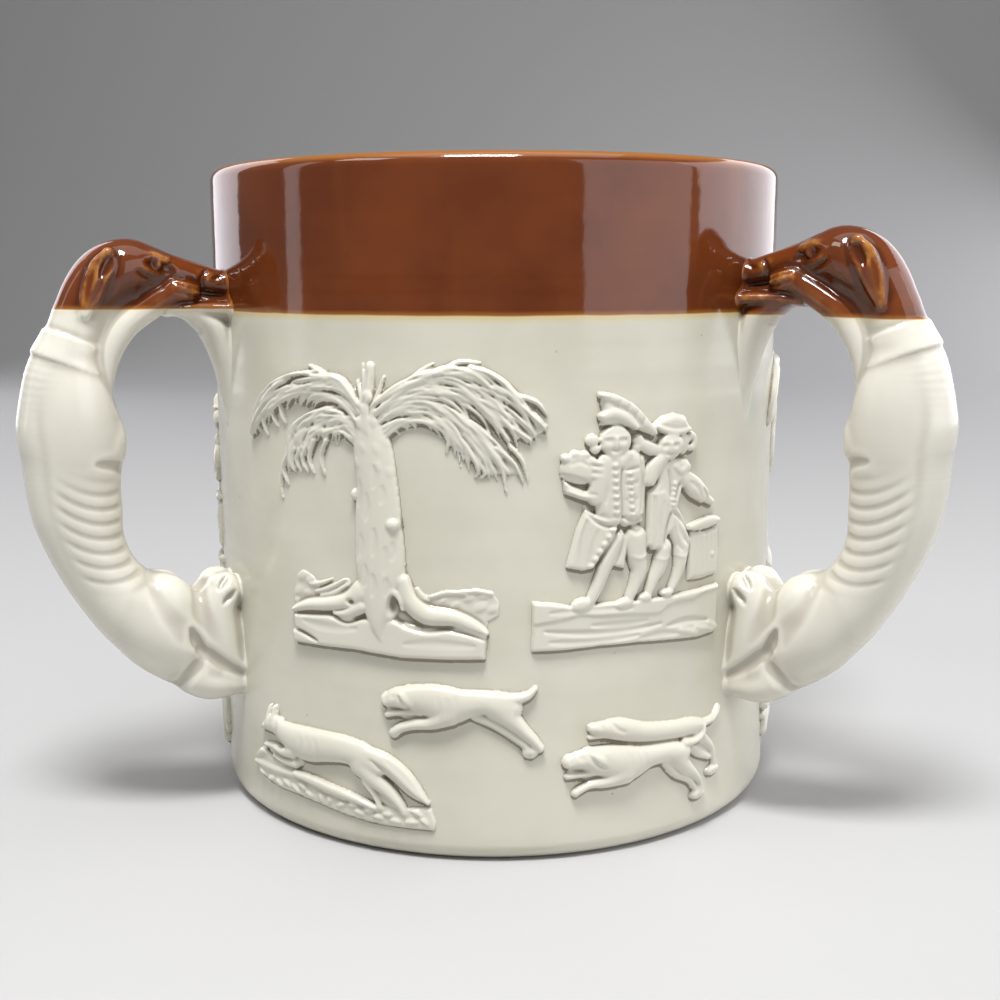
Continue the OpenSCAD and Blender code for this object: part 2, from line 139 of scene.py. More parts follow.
def blurred(grid, width):
    """Three running means along each axis, which come close to a Gaussian of that width in cells."""
    half = max(int(round(width)), 1)
    size = 2 * half + 1
    out = grid
    for axis in range(grid.ndim):
        edges = [(half + 1, half) if k == axis else (0, 0) for k in range(grid.ndim)]
        for _ in range(3):
            total = np.moveaxis(np.cumsum(np.pad(out, edges, mode="edge"), axis=axis), axis, 0)
            out = np.moveaxis((total[size:] - total[:-size]) / size, 0, axis)
    return out


# Meshes

def new_mesh(name, points, faces, edge):
    """A smooth mesh from millimetre points. edge is + on ridges and - in hollows, for the glaze and its
    painted shade.
    """
    mesh = bpy.data.meshes.new(name)
    mesh.from_pydata(np.asarray(points) * MM, [], faces)
    layer = mesh.attributes.new("edge", "FLOAT", "POINT")
    layer.data.foreach_set("value", np.asarray(edge, np.float32))
    mesh.shade_smooth()
    mesh.validate()
    mesh.update()
    return mesh


def outward(mesh, change=None):
    """Lets a function change the mesh, then turns all the faces outwards."""
    work = bmesh.new()
    work.from_mesh(mesh)
    if change:
        change(work)
    bmesh.ops.recalc_face_normals(work, faces=work.faces)
    work.to_mesh(mesh)
    work.free()
    return mesh


def place(mesh, name, node, slot, material, turn=0.0, lift=0.0):
    """A copy of a mesh turned round the cup's axis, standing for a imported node."""
    own = mesh.copy()
    own.name = name
    own.transform(Matrix.Translation((0, 0, lift * MM)) @ Matrix.Rotation(math.radians(turn), 4, "Z"))
    own.materials.clear()
    own.materials.append(material)
    piece = bpy.data.objects.new(name, own)
    bpy.context.scene.collection.objects.link(piece)
    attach(piece, "root")
    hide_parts(node)


# Thrown body

def arc(centre, radius, start, end, count):
    angles = np.radians(np.linspace(start, end, count))
    return [(centre[0] + radius * math.cos(a), centre[1] + radius * math.sin(a)) for a in angles]


def straight(start, end, spacing):
    """Points between two ends, without the ends."""
    count = max(int(math.dist(start, end) / spacing), 1)
    t = np.linspace(0, 1, count + 1)[1:-1]
    return [tuple(np.add(start, np.subtract(end, start) * k)) for k in t]


def cup_outline():
    """Radius and height along half a section, from the middle of the floor over the rim to the recess."""
    inner = CUP_R - WALL
    rim = WALL / 2
    lip = CUP_H - rim
    floor_end = inner - INSIDE_ROUND
    wall_start = FLOOR_Z + INSIDE_ROUND
    foot = CUP_R - FOOT_ROUND
    ring = foot - FOOT_RING
    outline = [(0.0, FLOOR_Z)]
    outline += straight((0, FLOOR_Z), (floor_end, FLOOR_Z), 4)
    outline += arc((floor_end, wall_start), INSIDE_ROUND, -90, 0, 14)
    outline += straight((inner, wall_start), (inner, lip), 3)
    outline += arc((inner + rim, lip), rim, 180, 0, 26)
    outline += straight((CUP_R, lip), (CUP_R, FOOT_ROUND), 1.25)
    outline += arc((foot, FOOT_ROUND), FOOT_ROUND, 0, -90, 14)
    outline += straight((foot, 0), (ring + RING_ROUND, 0), 2)
    outline += arc((ring + RING_ROUND, RING_ROUND), RING_ROUND, -90, -180, 5)
    outline += [(ring, RECESS)]
    outline += straight((ring, RECESS), (0, RECESS), 6)
    outline += [(0.0, RECESS)]
    return np.array(outline)


def cup_mesh():
    outline = cup_outline()
    turn = np.linspace(0, 2 * math.pi, CUP_SIDES, endpoint=False)
    r, z = outline[:, :1], outline[:, 1:]
    # Thrown by hand: faint rings and a wall that is not quite true
    rings = 0.022 * np.sin(z * 0.61 + 0.8 * np.sin(z * 0.17)) + 0.014 * np.sin(z * 1.7 + 1)
    sway = 0.05 * np.sin(2 * turn + 0.7 + z * 0.012) + 0.03 * np.sin(5 * turn + z * 0.03)
    below_rim = 1 - smooth_step(CUP_H - 4, CUP_H, z)
    upright = smooth_step(0.55, 0.9, r / CUP_R) * smooth_step(6, 12, z) * below_rim
    r = r + (rings + sway) * upright
    x = r * np.cos(turn)
    y = r * np.sin(turn)
    points = np.stack([x, y, np.broadcast_to(z, x.shape)], axis=2).reshape(-1, 3)
    row, k = np.meshgrid(np.arange(len(outline) - 1), np.arange(CUP_SIDES), indexing="ij")
    after = (k + 1) % CUP_SIDES
    here = row * CUP_SIDES
    below = here + CUP_SIDES
    faces = np.stack([here + k, below + k, below + after, here + after], axis=2)
    top = smooth_step(CUP_H - 2.6, CUP_H - 0.2, z) * np.ones_like(x)
    mesh = new_mesh("cup_body_glazed", points, faces.reshape(-1, 4), top.reshape(-1))
    # The first and last rows are single points in the middle
    return outward(mesh, lambda work: bmesh.ops.remove_doubles(work, verts=work.verts, dist=1e-6))


# Sprigs, pressed in moulds

class Relief:
    """Heights above the wall on a grid of places along it and up it."""

    def __init__(self, low, high, step=SPRIG_STEP):
        self.step = step
        along = np.arange(low[0], high[0], step)
        up = np.arange(low[1], high[1], step)
        self.x, self.y = np.meshgrid(along, up)
        self.h = np.zeros(self.x.shape)

    def window(self, points, margin):
        """The part of the grid that holds the points and a margin round them."""
        p = np.asarray(points, float)
        low = p.min(0)[:2] - margin
        high = p.max(0)[:2] + margin
        cols = np.searchsorted(self.x[0], [low[0], high[0]])
        rows = np.searchsorted(self.y[:, 0], [low[1], high[1]])
        return slice(rows[0], rows[1] + 1), slice(cols[0], cols[1] + 1)

    def stroke(self, points, half, power, bend):
        """Window and share of full height for a round stroke through the points."""
        halves = np.broadcast_to(half, len(points))
        stations = np.column_stack([np.asarray(points, float), halves])
        at = self.window(points, np.max(halves) * 1.3 + 1)
        distance, (wide,) = nearest(smooth_line(stations, bend), self.x[at], self.y[at])
        share = np.clip(1 - (distance / np.maximum(wide, 0.05)) ** 2, 0, 1)
        return at, share**power

    def levels(self, points, rise, at):
        """Heights along a stroke, at each place of a window."""
        if np.isscalar(rise):
            return rise
        stations = np.column_stack([np.asarray(points, float), rise])
        _, (level,) = nearest(smooth_line(stations, 4), self.x[at], self.y[at])
        return level

    def lift(self, at, level, soft):
        """Raises the clay to a level where that is the higher, with a fillet of that softness."""
        here = self.h[at]
        t = np.clip(0.5 + 0.5 * (level - here) / soft, 0, 1)
        merged = here + (level - here) * t + soft * t * (1 - t)
        self.h[at] = np.where(level > 0, merged, here)

    def limb(self, points, half, rise, base=0.0, power=0.5, bend=5, soft=FILLET):
        """Raises a round stroke, such as a leg or a leaf."""
        at, share = self.stroke(points, half, power, bend)
        self.lift(at, np.where(share > 0, base + self.levels(points, rise, at) * share, 0), soft)

    def bead(self, points, half, rise):
        """Lays a stroke on top of what is there."""
        at, share = self.stroke(points, half, power=0.8, bend=5)
        self.h[at] += rise * share

    def cut(self, points, half, depth):
        """A soft groove that runs out at its ends."""
        line = smooth_line(points, 3)
        taper = np.sin(np.linspace(0.2, math.pi - 0.2, len(line))) ** 0.6
        at, share = self.stroke(line, half * 1.3 * taper, power=1.6, bend=2)
        self.h[at] = np.maximum(self.h[at] - depth * share, np.minimum(self.h[at], LEAST_CLAY))

    def oval(self, centre, radii, lean, power):
        """Window and share of full height for a round patch."""
        at = self.window([centre], max(radii) + 1)
        c, s = math.cos(math.radians(lean)), math.sin(math.radians(lean))
        x, y = self.x[at] - centre[0], self.y[at] - centre[1]
        square = ((x * c + y * s) / radii[0]) ** 2 + ((y * c - x * s) / radii[1]) ** 2
        return at, np.clip(1 - square, 0, 1) ** power

    def dome(self, centre, radii, rise, lean=0.0, base=0.0, power=0.5):
        """Raises a round patch."""
        at, share = self.oval(centre, radii, lean, power)
        self.lift(at, np.where(share > 0, base + rise * share, 0), FILLET)

    def knob(self, centre, radii, rise, lean=0.0, power=0.8):
        """Lays a round patch on top of what is there."""
        at, share = self.oval(centre, radii, lean, power)
        self.h[at] += rise * share

    def dent(self, centre, radii, depth, lean=0.0):
        """A soft round hollow."""
        at, share = self.oval(centre, radii, lean, power=1.3)
        self.h[at] = np.maximum(self.h[at] - depth * share, np.minimum(self.h[at], LEAST_CLAY))

    def plate(self, outline, rise, edge, bend=1):
        """A flat patch with a rounded edge."""
        ends = np.vstack([outline, outline[:1]])
        line = smooth_line(ends, bend) if bend > 1 else np.asarray(ends, float)
        at = self.window(ends, 1)
        x, y = self.x[at], self.y[at]
        distance, _ = nearest(line, x, y)
        inside = np.zeros(x.shape, bool)
        for a, b in zip(line[:-1], line[1:]):
            if a[1] != b[1]:
                crosses = (a[1] > y) != (b[1] > y)
                inside ^= crosses & (x < a[0] + (y - a[1]) * (b[0] - a[0]) / (b[1] - a[1]))
        t = np.clip(distance / edge, 0, 1)
        self.lift(at, np.where(inside, rise * np.sqrt(1 - (1 - t) ** 2), 0), FILLET)

    def fill(self, low):
        """Closes pinholes between strokes down to a thin skin."""
        around = blurred(self.h, 0.8 / self.step)
        self.h = np.maximum(self.h, low * smooth_step(0.75, 1.15, around))

    def wear(self, passes):
        """Rubs down sharp edges, a little more with each pass."""
        feather = np.sqrt(smooth_step(0.0, SKIN, self.h))
        for _ in range(passes):
            for axis in (0, 1):
                edges = [(1, 1) if k == axis else (0, 0) for k in (0, 1)]
                p = np.moveaxis(np.pad(self.h, edges, mode="edge"), axis, 0)
                self.h = np.moveaxis((p[:-2] + 2 * p[1:-1] + p[2:]) / 4, 0, axis)
        self.h *= feather

    def film_and_shadow_line(self):
        """Lays a thin glaze layer on the wall in a line beneath the lower edges, and gives its share, which
        the glaze darkens as glaze pool and painted shadow.
        """
        reach = max(2, round(FILM_AND_SHADOW_WIDTH / self.step))
        above = np.zeros_like(self.h)
        for k in range(1, reach + 1):
            above[:-k] = np.maximum(above[:-k], self.h[k:] * (1 - 0.6 * (k - 1) / reach))
        film_and_shadow = smooth_step(0.25, 0.9, above) * (self.h < SKIN)
        self.h = np.maximum(self.h, FILM_HEIGHT * (film_and_shadow > 0.1))
        return film_and_shadow

    def raised_cells(self):
        """Cells that hold clay. Any two that meet only at a corner get a neighbour."""
        up = self.h > SKIN
        cell = up[:-1, :-1] | up[1:, :-1] | up[:-1, 1:] | up[1:, 1:]
        for _ in range(3):
            a, b, c, d = cell[:-1, :-1], cell[:-1, 1:], cell[1:, :-1], cell[1:, 1:]
            b |= a & d & ~b & ~c
            a |= b & c & ~a & ~d
        return cell

    def ridges(self, film_and_shadow):
        """Above 0 on ridges, and below 0 where glaze gathers and where shade is painted: in hollows, beneath
        lower edges and in the thin glaze line below them.
        """
        fine = self.h - blurred(self.h, 0.5 / self.step)
        broad = self.h - blurred(self.h, 1.4 / self.step)
        # Glaze pool and painted shadow beneath the lower edges and along the glaze line on the wall below
        # them; hollows get staining and painted shade
        under = smooth_step(0.5, 1.6, np.gradient(self.h, self.step, axis=0)) * smooth_step(1.3, 0.5, self.h)
        return np.clip((fine / 0.34 + broad / 1.1) * 0.6 - 1.2 * under - 1.2 * film_and_shadow, -1, 1)

    def mesh(self, name, share=RELIEF_SHARE):
        """A closed mesh of the raised cells, sunk a little into the wall."""
        self.h *= share
        # The glaze line beneath the lower edges, later darkened with painted shadow
        film_and_shadow = self.film_and_shadow_line()
        cell = self.raised_cells()
        used = np.zeros(self.h.shape, bool)
        for row in (0, 1):
            for col in (0, 1):
                used[row:row + cell.shape[0], col:col + cell.shape[1]] |= cell
        index = np.cumsum(used).reshape(used.shape) - 1
        count = int(used.sum())
        radius = CUP_R + np.where(self.h > SKIN, self.h, -SUNK)
        angle = math.radians(FRONT_TURN) + (self.x + SPRIG_SHIFT) / CUP_R

        def at(r):
            return np.stack([r * np.cos(angle), r * np.sin(angle), self.y - SPRIG_LOWER], axis=2)[used]

        points = np.vstack([at(radius), at(np.full(radius.shape, CUP_R - BACK))])
        rows, cols = np.nonzero(cell)
        corners = ((0, 0), (0, 1), (1, 1), (1, 0))
        quad = np.stack([index[rows + row, cols + col] for row, col in corners], 1)
        sides = []
        padded = np.pad(cell, 1)
        for shift, ends in (((0, -1), (0, 3)), ((0, 1), (2, 1)), ((-1, 0), (1, 0)), ((1, 0), (3, 2))):
            open_side = ~padded[rows + 1 + shift[0], cols + 1 + shift[1]]
            a, b = quad[open_side, ends[0]], quad[open_side, ends[1]]
            sides.append(np.stack([a, b, b + count, a + count], 1))
        faces = np.vstack([quad, quad[:, ::-1] + count] + sides)
        ridge = self.ridges(film_and_shadow)[used]
        mesh = new_mesh(name, points, faces, np.concatenate([ridge, np.zeros(count)]))

        def thin_back(work):
            """The hidden back needs few faces."""
            work.verts.ensure_lookup_table()
            work.faces.ensure_lookup_table()
            hidden = range(len(quad), 2 * len(quad))
            inner = [e for e in work.edges if all(f.index in hidden for f in e.link_faces)]
            behind = [v for v in work.verts if v.index >= count]
            bmesh.ops.dissolve_limit(work, angle_limit=math.radians(4), verts=behind, edges=inner)
            for f in work.faces:
                f.smooth = True

        return outward(mesh, thin_back)


def sheaf(relief, rng, outer, inner, strands, low, high):
    """A frond as strands that run between an outer and an inner arc, highest along the outer one."""
    a, b = smooth_line(outer, 8), smooth_line(inner, 8)
    last = len(a) - 1
    relief.plate(np.vstack([a[::4], b[::-4]]), low * 0.45, 0.9)
    for _ in range(strands):
        start = rng.uniform(-0.06, 0.76)
        reach = rng.uniform(0.2, 0.34)
        t = np.clip(np.linspace(start, start + reach, 5), 0, 1) * last
        across = rng.random()
        share = across + rng.uniform(-0.5, 0.15) * np.linspace(0, 1, 5) ** 2
        i = np.minimum(t.astype(int), last - 1)
        f = (t - i)[:, None]
        on_a = a[i] * (1 - f) + a[i + 1] * f
        on_b = b[i] * (1 - f) + b[i + 1] * f
        points = on_b + (on_a - on_b) * share[:, None]
        points[-1, 1] -= rng.uniform(0.2, 1.4)
        top = low + (high - low) * (0.5 * rng.random() + 0.5 * across)
        wide = rng.uniform(0.36, 0.62)
        relief.limb(points, [wide * 0.6, wide, wide, wide * 0.75, 0.2],
                    [top * 0.85, top, top, top * 0.85, top * 0.55], power=0.7, bend=2, soft=0.05)


def palm_bank(r):
    # Thin ground behind the roots, with plants
    r.plate([(-52.4, 57), (-52.6, 62), (-51.6, 66.4), (-49.4, 68), (-46.4, 67.2), (-43.6, 64.4), (-38, 66.6),
             (-35.6, 67.6), (-33.4, 65), (-26, 66), (-18.4, 66.8), (-16, 65), (-9, 66.4), (-1, 66.4),
             (0.8, 63.6), (0.6, 60.4), (-1.8, 59), (-2.2, 56)], 0.3, 0.5)
    for x, y, size in ((-50.6, 62.6, 1.6), (-49.4, 66.4, 1.6), (-47, 65.6, 1.3), (-47.8, 62.6, 1.1),
                       (-51.4, 60.2, 1.0), (-6.2, 64.6, 1.3), (-3.6, 62.4, 1.5), (-0.8, 62, 1.3),
                       (-2.8, 65.2, 1.2), (-9.4, 63, 1.0), (-12.2, 63.8, 0.9)):
        r.dome((x, y), (size * 1.25, size * 0.8), 0.4, lean=25, base=0.25, power=0.8)
    for line in ([(-45, 63.2), (-41, 64.6), (-36.4, 67.2)], [(-43.4, 62.6), (-39.6, 63.6), (-35.6, 66)],
                 [(-46.8, 64.8), (-43.6, 65.4), (-40.2, 66.8)], [(-18.2, 66.4), (-17.2, 64.8), (-15.6, 63.8)],
                 [(-15, 64.6), (-11, 65.8), (-6.8, 65.4)], [(-9, 66), (-4, 66.2), (-1, 65.6)]):
        r.limb(line, [0.4, 0.6, 0.3], 0.5, base=0.4)
    # Bank
    r.plate([(-52, 49.9), (-44, 50.2), (-34, 50.6), (-22, 49.8), (-10, 50), (-2.4, 50.2), (-2.2, 56.4),
             (-9, 58), (-17, 57.4), (-24, 59), (-33, 58.6), (-41, 59), (-52, 57.6), (-51.6, 54), (-52.6, 53)],
            2.1, 1.2)
    r.cut([(-52.4, 53.8), (-48, 52.9), (-44, 51.6)], 0.6, 1.0)
    for line in ([(-48, 56), (-41, 55.4), (-33, 56)], [(-21, 53.4), (-14, 54), (-5, 53.6)]):
        r.cut(line, 1.1, 0.25)


def palm_trunk(r):
    # Roots
    r.limb([(-31.6, 64.6), (-35.4, 62.2), (-41, 60.8), (-47, 59.8), (-52, 58)], [3.2, 2.2, 1.8, 1.5, 0.9],
           [2.8, 2.7, 2.5, 2.3, 1.9], soft=0.5)
    r.limb([(-31.4, 61.4), (-35.4, 59.4), (-39, 59)], [2, 1.5, 0.7], [2.8, 2.6, 2.3])
    r.limb([(-21.6, 68), (-20, 63.6), (-16, 60.4), (-9.6, 59.8), (-5, 58), (-2.4, 56.6)],
           [2.0, 2.3, 2.4, 2.0, 1.6, 0.8], [2.6, 2.7, 2.6, 2.5, 2.3, 2], soft=0.9)
    r.cut([(-24.4, 60), (-21, 57.6), (-16, 56.6), (-11, 57.2), (-6, 56.2), (-2.4, 55)], 0.6, 0.9)
    r.cut([(-52, 57.2), (-46, 57.8), (-40, 58.4), (-36, 57.2), (-33, 58), (-30.2, 59.8)], 0.6, 0.9)
    # Trunk with its burr
    r.limb([(-26.6, 54), (-27.4, 57), (-27.2, 62), (-27, 70), (-27.4, 80), (-27.6, 90), (-28.6, 99),
            (-29.4, 107)], [0.8, 2.4, 4.8, 6.2, 6.0, 5.2, 4.8, 2.6],
           [2.3, 2.8, 3.1, 3.2, 3.1, 2.9, 2.6, 2.2], power=0.45, soft=0.4)
    r.dent((-23.8, 62.4), (1.5, 3.2), 1.7, lean=-6)
    r.limb([(-25.6, 60.6), (-24.9, 64.4), (-23.4, 65.6), (-22, 64.2), (-21.4, 61.6)],
           [0.4, 0.6, 0.7, 0.6, 0.4], 0.4, base=2.5)
    r.dome((-23.4, 81.2), (1.5, 1.4), 1.2, base=2.4, power=0.6)
    r.dent((-34.2, 62.4), (1.3, 1.0), 1.2)
    r.dome((-33.1, 87.6), (0.8, 1.4), 0.9, base=1.3)
    r.knob((-32.4, 72), (0.5, 1.0), 0.3)
    for x, y, long in ((-31, 76, 5), (-25, 73, 6), (-29.4, 85, 6), (-25.6, 88, 4), (-28, 67, 5),
                       (-31.4, 88, 6), (-27.6, 77, 6), (-23.4, 75, 4), (-30, 69, 5), (-27.4, 92, 5),
                       (-24.8, 66.6, 4)):
        r.cut([(x - 0.3, y - long / 2), (x + 0.2, y), (x, y + long / 2)], 0.8, 0.3)
    for x, y in ((-30.2, 98.6), (-26.8, 98.4), (-26.4, 94.4), (-24, 93.2), (-32, 95), (-29, 102.6),
                 (-24.6, 100)):
        r.knob((x, y), (0.9, 1.5), 0.22, lean=20)


def palm_fronds(r):
    rng = np.random.default_rng(11)
    # Leaflets that hang from the lower fronds
    for line in ([(-40.6, 99.6), (-42.4, 95.6), (-41.6, 91.2)], [(-44, 99.4), (-46, 95), (-44.8, 91.4)],
                 [(-46, 98.4), (-48, 94.6), (-46.6, 91.4)], [(-48, 97.4), (-50, 94.4), (-48.8, 91.4)],
                 [(-50, 97), (-52.4, 94), (-50.6, 91.4)], [(-52, 97), (-53.8, 94), (-55.2, 91)],
                 [(-53, 95), (-54.6, 91.4), (-53.4, 88)], [(-54, 94), (-55.8, 89), (-55.6, 84.4)],
                 [(-62, 104), (-61.4, 101.4), (-60.6, 99)], [(-58, 106), (-57.6, 103.4), (-56.4, 101.4)],
                 [(-64.6, 103), (-64, 101), (-63.4, 99.4)], [(-55, 107), (-54.6, 104.4), (-53.6, 102.4)],
                 [(-12, 104.6), (-10.6, 101), (-11.2, 97.6)], [(-9, 103), (-7, 99), (-6.4, 95.2)],
                 [(-7, 102), (-4.2, 98), (-3.2, 94.6)], [(-4, 101), (-1.6, 96.6), (-1, 92.8)],
                 [(-2, 100), (1, 95.6), (2.2, 88.8)], [(0, 99), (4, 95.4), (6, 91)],
                 [(3, 99.4), (5.8, 96), (7, 91.4)], [(6, 106), (7.6, 103.6), (8.4, 101.6)],
                 [(8, 106.6), (9.8, 105), (10.4, 102.6)]):
        r.limb(line, [0.6, 0.6, 0.25], [1.6, 1.4, 0.9], power=0.6)
    # Fronds, the lower ones first
    sheaf(r, rng, [(-31, 105), (-37, 108), (-43.4, 106.8), (-49.4, 103.6), (-53, 99), (-55.2, 92)],
          [(-32.6, 98), (-35.6, 101), (-39.6, 101.4), (-44, 100.6), (-47.4, 97), (-49.4, 92)], 90, 1.1, 2.2)
    sheaf(r, rng, [(-26.6, 105.6), (-20, 109), (-13, 109.6), (-7, 106.6), (-1, 101), (5.6, 93)],
          [(-26, 99.6), (-22.4, 103), (-17, 104.8), (-11.6, 103), (-7, 98.4), (-2, 92.8)], 90, 1.1, 2.2)
    sheaf(r, rng, [(-30.4, 108), (-36.6, 114.6), (-46, 115), (-55.6, 113), (-63, 107.6), (-68, 99.4)],
          [(-32, 103.4), (-37, 108.4), (-44.6, 109.6), (-52, 108.2), (-59.4, 105), (-66, 99.4)],
          120, 1.6, 2.8)
    sheaf(r, rng, [(-28.6, 108), (-20.6, 114), (-11, 117), (-3, 116.6), (4.6, 112), (11.8, 103.6)],
          [(-27, 103.4), (-21, 108.4), (-13, 110), (-5, 107.6), (1.4, 103.4), (7, 99.8)], 130, 1.6, 2.8)
    # Single leaves that stand clear, then the crown
    for line in ([(-37, 113), (-42, 115.4), (-45.6, 116.6)], [(-33, 110), (-36, 113.4), (-39.4, 114.4)],
                 [(-19, 114), (-16.6, 116), (-14, 117.6)], [(-12, 116), (-8, 118), (-3.4, 117.8)],
                 [(5, 110.6), (9, 109), (11.4, 106)], [(-56, 110.6), (-62, 107), (-67.8, 98.8)]):
        r.limb(line, [0.6, 0.7, 0.3], [2.0, 1.7, 1.0], power=0.6)
    r.limb([(-29.4, 103), (-29.4, 110), (-28.8, 116.8)], [2.4, 1.8, 1.1], [2.6, 2.2, 1.5])
    for tip, wide in (((-25.4, 114.6), 0.8), ((-32, 113.6), 0.8), ((-30.6, 117.4), 0.6)):
        r.limb([(-29, 103), ((tip[0] - 29) / 2, 109), tip], [1.6, wide, 0.3], [2.5, 2.2, 1.3])
    for line in ([(-30.2, 106), (-29.8, 111), (-29.2, 115.6)], [(-28.4, 105), (-28.4, 110), (-28, 114)]):
        r.cut(line, 0.45, 0.5)
    for x, y in ((-29.6, 107), (-27.8, 104.4), (-31, 104), (-29, 110)):
        r.dome((x, y), (1.0, 1.5), 0.5, base=2.0, lean=10)


def palm_tree():
    r = Relief((-72, 47), (16, 121))
    for part in (palm_bank, palm_trunk, palm_fronds):
        part(r)
    r.fill(0.7)
    r.wear(1)
    return r.mesh("palm_tree_relief")


def calm_face(r, centre, size, look):
    """A plain, general face: eyes at mid height, the nose half way on to the chin, the mouth below it."""
    x, y = centre
    w, h = size
    r.dome(centre, (w, h), 1.0, base=2.1, power=0.55)
    for side in (-1, 1):
        eye = (x + look + side * w * 0.4, y + h * 0.08)
        r.dent(eye, (w * 0.34, h * 0.2), 0.5)
        r.knob(eye, (w * 0.2, h * 0.11), 0.3)
        r.bead([(eye[0] - w * 0.26, eye[1] + h * 0.2), (eye[0] + w * 0.26, eye[1] + h * 0.22)], 0.5, 0.22)
        r.knob((x + look + side * w * 0.48, y - h * 0.32), (w * 0.3, h * 0.24), 0.2)
    r.bead([(x + look, y + h * 0.22), (x + look, y - h * 0.28)], [0.5, 0.85], 0.6)
    r.cut([(x + look - w * 0.32, y - h * 0.54), (x + look + w * 0.32, y - h * 0.54)], 0.42, 0.5)
    r.knob((x + look, y - h * 0.82), (w * 0.36, h * 0.2), 0.25)


def buttons(r, start, end, count, size):
    for k in range(count):
        t = k / (count - 1)
        spot = (start[0] + (end[0] - start[0]) * t, start[1] + (end[1] - start[1]) * t)
        r.knob(spot, (size * 1.3, size), 0.75, power=0.5)


def drinkers_ground(r):
    """A front face below a worn ledge."""
    r.plate([(7.8, 51.8), (14, 51.8), (24, 52.2), (34, 52), (44, 51.2), (52, 50.5), (59, 50.8), (59.4, 62.6),
             (54, 62.4), (46, 62), (30, 62), (16, 62.4), (8, 63.6)], 1.6, 0.8)
    r.plate([(8, 63.8), (13, 63.3), (17, 62.4), (28, 62.6), (40, 62.4), (50, 62.6), (59.2, 63), (59.4, 61.2),
             (54, 61.2), (50, 60.2), (44, 60.2), (41.6, 59.6), (39.6, 58.2), (36, 58.4), (30, 59), (24, 59.2),
             (19, 59.8), (14, 58.8), (8, 58)], 2.1, 0.7)
    for line, deep in (([(11, 56.6), (20, 55.7), (30, 55.4), (40, 56)], 0.5),
                       ([(42, 55.2), (48, 55.5), (55, 54.6)], 0.5), ([(12, 54), (22, 53.6), (34, 54)], 0.35),
                       ([(12, 61), (22, 61.4), (32, 60.8)], 0.35), ([(22, 57.4), (30, 57), (36, 57.2)], 0.35),
                       ([(34, 53), (40, 53.4), (45, 52.8)], 0.3)):
        r.cut(line, 0.9, deep)
    for line in ([(46, 53.4), (49, 52.6), (51.4, 52)], [(51, 53.2), (54, 52.5), (57, 51.8)],
                 [(55.4, 53.6), (58.4, 52.2)]):
        r.limb(line, 0.8, 0.5, base=1.5)


def keg(r):
    """Keg with its lid and staves."""
    r.plate([(48.2, 65), (53, 64.8), (58.8, 65.2), (59.4, 70), (59, 77), (54, 76.6), (48.6, 77)], 1.5, 1.4)
    for x in (50.4, 52.2, 54, 55.6, 57.2, 58.4):
        r.cut([(x, 65.6), (x + 0.1, 70.6), (x, 76)], 0.4, 0.2)
    r.limb([(48.8, 78), (52, 78.2), (56, 78.6), (58.4, 78.6)], [0.9, 1.4, 1.4, 0.9], 0.8, base=1.4)
    r.knob((56.4, 70.5), (0.9, 0.7), 0.4)


def drinkers_legs(r):
    """Legs of both, with shoes."""
    r.limb([(27.8, 77), (25.4, 71.6), (23.8, 67.6), (22.2, 64.2), (20.6, 62)], [2.4, 2.0, 1.7, 1.5, 1.3],
           [2.3, 2.4, 2.4, 2.3, 2.2])
    r.dome((19.3, 62.5), (2.4, 1.6), 1.2, base=1.6, lean=15)
    r.limb([(32.8, 77), (33.4, 72.6), (33.9, 69.4), (32.8, 66), (31.4, 63.2)], [3.2, 2.7, 2.3, 1.7, 1.4],
           [2.5, 2.6, 2.5, 2.4, 2.2])
    r.dome((29.8, 62), (2.4, 1.2), 0.9, base=1.7, lean=10)
    r.limb([(40.8, 74), (39.6, 69.8), (38, 67), (36.6, 64)], [2.4, 2.2, 1.7, 1.3], [2.4, 2.6, 2.4, 2.2])
    r.dome((35.4, 62.8), (1.9, 1.1), 0.8, base=1.7)
    r.limb([(46, 74), (45.8, 70), (44.8, 67), (43.2, 64.2)], [2.4, 2.0, 1.5, 1.2], [2.3, 2.5, 2.3, 2.1])
    r.dome((41.6, 63.2), (1.9, 1.0), 0.8, base=1.7)
    for x, y in ((33.6, 72.4), (40.2, 71.4), (46, 71.4)):
        r.bead([(x - 2, y + 0.6), (x, y), (x + 2, y + 0.6)], 0.5, 0.25)


